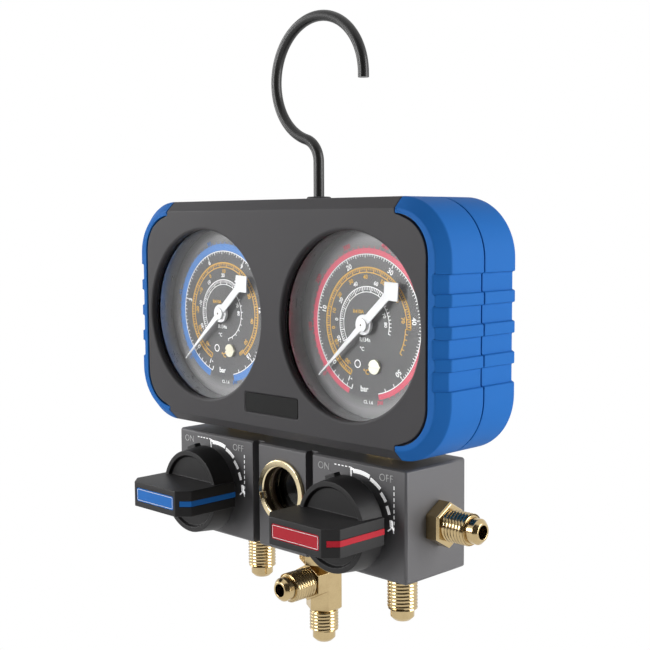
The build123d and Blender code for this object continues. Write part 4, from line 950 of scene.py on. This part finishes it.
# a band's row is inner and outer radius, first and last angle; a tick row is inner and outer
# radius, line width, first and last angle, steps; a word's row is text, size, place
dialPrint = {
    "white": (
        (band, 24.9, 25.2, 252, -78),
        (ticks, 23.3, 25.0, 0.42, 222, -48, 5),
        (ticks, 23.8, 25.0, 0.3, 222, -48, 25),
        (ticks, 24.2, 25.0, 0.26, 222, -48, "fine"),
        (ticks, 23.3, 25.0, 0.42, 252, 222, 1),
        (ticks, 23.8, 25.0, 0.3, 246, 228, 3),
        (ticks, 23.8, 25.0, 0.3, -58.8, -69.6, 1),
        (band, 13.4, 13.7, 210, "ringEnd"),
        (band, 11.5, 11.75, 210, "ringEnd"),
        (ticks, 11.7, 13.5, 0.34, 210, "ringEnd", 9),
        (ticks, 12.3, 13.5, 0.24, 210, "ringEnd", 45),
        (band, 10.3, 10.6, "ringEnd", "ringTail"),
        (ticks, 10.4, 11.5, 0.28, "ringEnd", "ringTail", 9)),
    "whiteWords": (
        (words, "bar", 2.9, -1.5, -23.4), (words, "R134a", 2.1, -1.2, -5.6),
        (words, "°C", 2.0, -2.6, -9.0), (words, "CL 1.6", 1.7, 0.4, -28.0)),
    "coloured": (
        (band, "edgeInner", "edgeOuter", 250, -78),
        (ticks, "psiInner", "psiOuter", 0.3, 222, -67.2, 54)),
    "colouredWords": ((words, "psi", 2.4, 6.2, -27.4),),
    "gold": (
        (band, 20.1, 20.6, 246, "goldEnd"),
        (band, 18.4, 18.8, 246, "goldEnd"),
        (ticks, 18.6, 20.4, 0.5, 246, "goldEnd", 24),
        (ticks, 19.3, 20.4, 0.36, 246, "goldEnd", 96),
        (band, 17.8, 18.15, "goldEnd", "goldTail"),
        (ticks, 18.0, 19.2, 0.3, "goldEnd", "goldTail", 5),
        (words, "°C", 2.6, -0.6, -17.2),
        (words, "R410A", 1.9, -4.4, 4.4)),
    "circle": {"x": -4.8, "z": -14.5, "inner": 1.15, "outer": 1.55},
    "bar": {"start": 222, "step": -54, "belowZero": ("-1", 247)},
    "innerFigures": (("70", 24), ("80", 2)),
}
# radius and size of each scale's numbers
figures = {
    "bar": (21.9, 2.7), "ring": (15.2, 2.1), "inner": (8.7, 1.9), "psi": (29.0, 2.4),
    "gold": (16.9, 2.2),
}
scales = {
    "high": {
        "colour": "red", "edgeInner": 25.3, "edgeOuter": 27.2, "psiInner": 27.1, "psiOuter": 28.0,
        "fine": 100, "barFigures": ("0", "10", "20", "30", "40", "50"),
        "psiFigures": (
            ("0", 222), ("100", 184.8), ("200", 147.5), ("300", 110.3), ("400", 73),
            ("500", 35.8), ("600", -1.4), ("700", -38.6)),
        "goldFigures": (
            ("-30", 236), ("-10", 207), ("0", 187), ("10", 166), ("20", 144), ("30", 118),
            ("40", 93), ("50", 64), ("60", 34), ("70", 8)),
        "goldEnd": -2, "goldTail": -31, "ringEnd": 45, "ringTail": -16,
        "ringFigures": (("-20", 204), ("0", 176), ("20", 148), ("40", 112), ("60", 74)),
    },
    "low": {
        "colour": "blue", "edgeInner": 25.3, "edgeOuter": 28.0, "psiInner": 27.9, "psiOuter": 28.8,
        "fine": 75, "barFigures": ("0", "3", "6", "9", "12", "15"),
        "psiFigures": (
            ("0", 222), ("45", 165), ("90", 108), ("135", 51), ("180", -6), ("220", -56)),
        "goldFigures": (
            ("-40", 232), ("-30", 205), ("-20", 178), ("-10", 150), ("0", 120), ("10", 90),
            ("20", 58), ("30", 26), ("40", -8), ("50", -40)),
        "goldEnd": -52, "goldTail": -60, "ringEnd": 45, "ringTail": -77,
        "ringFigures": (("-30", 204), ("-10", 168), ("10", 128), ("20", 92), ("30", 60)),
    },
}
for side in sides:
    scale = scales[side]
    centre = (gaugeX[side], dialFront - printing["lift"] * mm, gaugeZ)
    circle, barRow = dialPrint["circle"], dialPrint["bar"]
    aside = (centre[0] + circle["x"] * mm, centre[1], centre[2] + circle["z"] * mm)
    white = marked(dialPrint["white"], centre, scale)
    white.append(band(aside, circle["inner"], circle["outer"], 360, 0))
    white += marked(dialPrint["whiteWords"], centre, scale)
    barFigures = [(value, barRow["start"] + barRow["step"] * index)
                  for index, value in enumerate(scale["barFigures"])]
    white += numbers(centre, *figures["bar"], barFigures + [barRow["belowZero"]])
    white += numbers(centre, *figures["ring"], scale["ringFigures"])
    white += numbers(centre, *figures["inner"], dialPrint["innerFigures"])
    ink(side + "_dial_white", white, inks["white"], centre)
    coloured = marked(dialPrint["coloured"], centre, scale)
    coloured += numbers(centre, *figures["psi"], scale["psiFigures"])
    coloured += marked(dialPrint["colouredWords"], centre, scale)
    ink(side + "_dial_" + scale["colour"], coloured, inks[scale["colour"]], centre)
    gold = marked(dialPrint["gold"], centre, scale)
    gold += numbers(centre, *figures["gold"], scale["goldFigures"])
    ink(side + "_dial_gold", gold, inks["gold"], centre)
print("dials printed")

# the turning marks printed on the block, measured from each valve's axis; an arc is inner and
# outer radius, first and last angle, dashes run across above the knob and down beside it, and
# a stroke is its two ends and its width
blockPrint = {
    "arcs": ((16.4, 17.9, 96, 70), (16.0, 17.3, 68, 49.5), (15.3, 16.5, 46, 33),
             (15.0, 16.2, 28, 17), (15.2, 16.4, 10, 1)),
    "across": {"count": 5, "x": -10.9, "pitch": 1.75, "length": 1.0, "z": (18.0, 18.35)},
    "down": {"count": 8, "z": 14.6, "pitch": 2.0, "length": 1.25, "x": (16.85, 17.2)},
    "strokes": (
        ((-2.9, 17.9), (-2.7, 14.9), 0.6), ((-1.2, 17.4), (-2.9, 17.9), 0.8),
        ((16.2, 2.6), (16.7, -0.4), 0.5), ((14.2, -1.2), (16.3, 0.4), 0.5),
        ((16.9, -1.6), (16.6, 0.2), 0.4)),
    "words": (("ON", 3.7, -16.2, 16.7), ("OFF", 3.7, 13.5, 16.7)), "weight": -0.01,
}
for side in sides:
    centre = (gaugeX[side], blockFront - printing["lift"] * mm, valveZ)
    x, z = centre[0] / mm, centre[2] / mm
    marks = [band(centre, *arc) for arc in blockPrint["arcs"]]
    across, down = blockPrint["across"], blockPrint["down"]
    lower, upper = across["z"]
    for index in range(across["count"]):
        left = x + across["x"] + across["pitch"] * index
        marks.append(quad("dash", left, left + across["length"], z + lower, z + upper, centre[1]))
    left, right = down["x"]
    for index in range(down["count"]):
        top = z + down["z"] - down["pitch"] * index
        marks.append(quad("dash", x + left, x + right, top - down["length"], top, centre[1]))
    for start, end, width in blockPrint["strokes"]:
        length = math.dist(start, end)
        stroke = quad("stroke", x, x + length, z - width / 2, z + width / 2, centre[1])
        turnAbout(stroke, centre, math.degrees(math.atan2(end[1] - start[1], end[0] - start[0])))
        stroke.data.transform(Matrix.Translation((start[0] * mm, 0, start[1] * mm)))
        marks.append(stroke)
    labels = [words(centre, *row, weight=blockPrint["weight"]) for row in blockPrint["words"]]
    ink(side + "_block_words", labels, inks["label"])
    # the marks wear the faintly glowing ink, painted light
    ink(side + "_block_print", marks, inks["mark"])
print("block printed")


# a plate with rounded corners facing the front, or a frame of that shape where a rim is given
def roundedPlate(name, centre, width, height, corner, thickness, rim=None):
    x, y, z = centre
    piece = quad(name, x - width / 2, x + width / 2, z - height / 2, z + height / 2, y * mm)
    editWhole(piece)
    bpy.ops.mesh.bevel(offset=corner * mm, affect="VERTICES", segments=5)
    if rim:
        bpy.ops.mesh.inset(thickness=rim * mm)
        bpy.ops.mesh.delete(type="FACE")
        bpy.ops.mesh.select_all(action="SELECT")
    bpy.ops.mesh.extrude_region_move(TRANSFORM_OT_translate={"value": (0, thickness * mm, 0)})
    closeOutwards()
    return piece


# the bare badge plate in the panel's recess
panelBadge = {
    "plate": {"width": 27.9, "height": 7.0, "corner": 0.7, "thickness": 0.5},
    "sunk": 0.18, "soften": 0.1, "limit": 40,
}
badgeY = coverBox[0].y / mm + panelBadge["sunk"]
plate = roundedPlate("badge_plate", (0, badgeY, badgeZ / mm), **panelBadge["plate"])
softenEdges(plate, panelBadge["soften"], panelBadge["limit"])
smoothByAngle(plate)
dress(plate, "badge_black")
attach(plate, "housing")

# knob badges: the coloured plate and a thin white border that stands a little in front of it
knobBadge = {
    "plate": {"width": 22.3, "height": 5.1, "corner": 0.7, "thickness": 0.66},
    "border": {"width": 21.5, "height": 4.3, "corner": 0.5, "thickness": 0.06, "rim": 0.16},
    "sunk": 0.12, "proud": 0.03, "soften": 0.08, "limit": 40,
}
for side in sides:
    low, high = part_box(side + "_knob_badge")
    x, z = (low.x + high.x) / 2 / mm, (low.z + high.z) / 2 / mm
    y = low.y / mm + knobBadge["sunk"]
    badge = roundedPlate(side + "_badge_bare", (x, y, z), **knobBadge["plate"])
    softenEdges(badge, knobBadge["soften"], knobBadge["limit"])
    standIn(side + "_knob_badge", smoothByAngle(badge))
    proudY = y - knobBadge["proud"]
    border = roundedPlate(side + "_badge_border", (x, proudY, z), **knobBadge["border"])
    border.data.materials.append(inks["white"])
    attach(border, side + "_valve")

# the sight glass's ring, turned with a groove inside and one notch in its inner edge
sight = {
    "flange": 12.0, "edge": 0.4, "lip": 1.2, "thread": 10.75, "depth": 9.0, "bore": 9.2,
    "lens": 10.02, "lensSeat": -5.0, "groove": 9.8, "grooveEnds": (-3.7, -3.4, -2.2, -1.9),
    "mouth": 9.6, "mouthStart": 0.8, "steps": 96, "soften": 0.1, "limit": 40,
    "notch": {"size": (2.6, 2.2, 2.4), "place": (-10.0, 0, 1.0), "turn": 15},
    "shaded": {"within": 9.75, "behind": -0.7},  # the inner faces, which take the darker brass as painted shade inside the bore
}
lip, depth, bore = sight["lip"], -sight["depth"], sight["bore"]
grooveStart, grooveLow, grooveHigh, grooveEnd = sight["grooveEnds"]
ring = turned("sight_ring_turned", (
    (lip, sight["mouth"]), (lip, sight["flange"] - sight["edge"]),
    (lip - sight["edge"], sight["flange"]), (0, sight["flange"]), (0, sight["thread"]),
    (depth, sight["thread"]), (depth, sight["lens"]), (sight["lensSeat"], sight["lens"]),
    (sight["lensSeat"], bore), (grooveStart, bore), (grooveLow, sight["groove"]),
    (grooveHigh, sight["groove"]), (grooveEnd, bore), (sight["mouthStart"], bore),
    (lip, sight["mouth"])), sight["steps"])
notchPlace = [length * mm for length in sight["notch"]["place"]]
notch = cutter("notch", sight["notch"]["size"], notchPlace, (0, 0, 0))
notch.data.transform(Matrix.Rotation(math.radians(sight["notch"]["turn"]), 4, "Z"))
cutWith(ring, notch)
low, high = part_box("sight_glass_ring")
ringZ = (low.z + high.z) / 2
layFront = Matrix.Rotation(math.radians(90), 4, "X")
ring.data.transform(Matrix.Translation((0, blockFront, ringZ)) @ layFront)
softenEdges(ring, sight["soften"], sight["limit"])
standIn("sight_glass_ring", smoothByAngle(ring))
# the bore's inner faces behind the front get the near-black brass: painted shade
ring.data.materials.append(paint["shaded_brass"])
shadedY = blockFront + sight["shaded"]["behind"] * mm
for face in ring.data.polygons:
    fromAxis = math.hypot(face.center.x, face.center.z - ringZ)
    if fromAxis < sight["shaded"]["within"] * mm and face.center.y > shadedY:
        face.material_index = 1

# cross recesses in the cover screws' heads
cross = {"blade": (0.75, 2.6, 3.6), "turns": (20, 110), "soften": 0.12, "limit": 50}
screws = fromNode("cover_screws", "cover_screws_crossed")
softenEdges(screws, cross["soften"], cross["limit"])
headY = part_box("cover_screws")[1].y
for x in (-screwX, screwX):
    for z in screwZ:
        for turn in cross["turns"]:
            cutWith(screws, cutter("blade", cross["blade"], (x, headY, z), (0, turn, 0)))
standIn("cover_screws", smoothByAngle(screws))
print("badges, sight ring and screws made")

low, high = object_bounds()
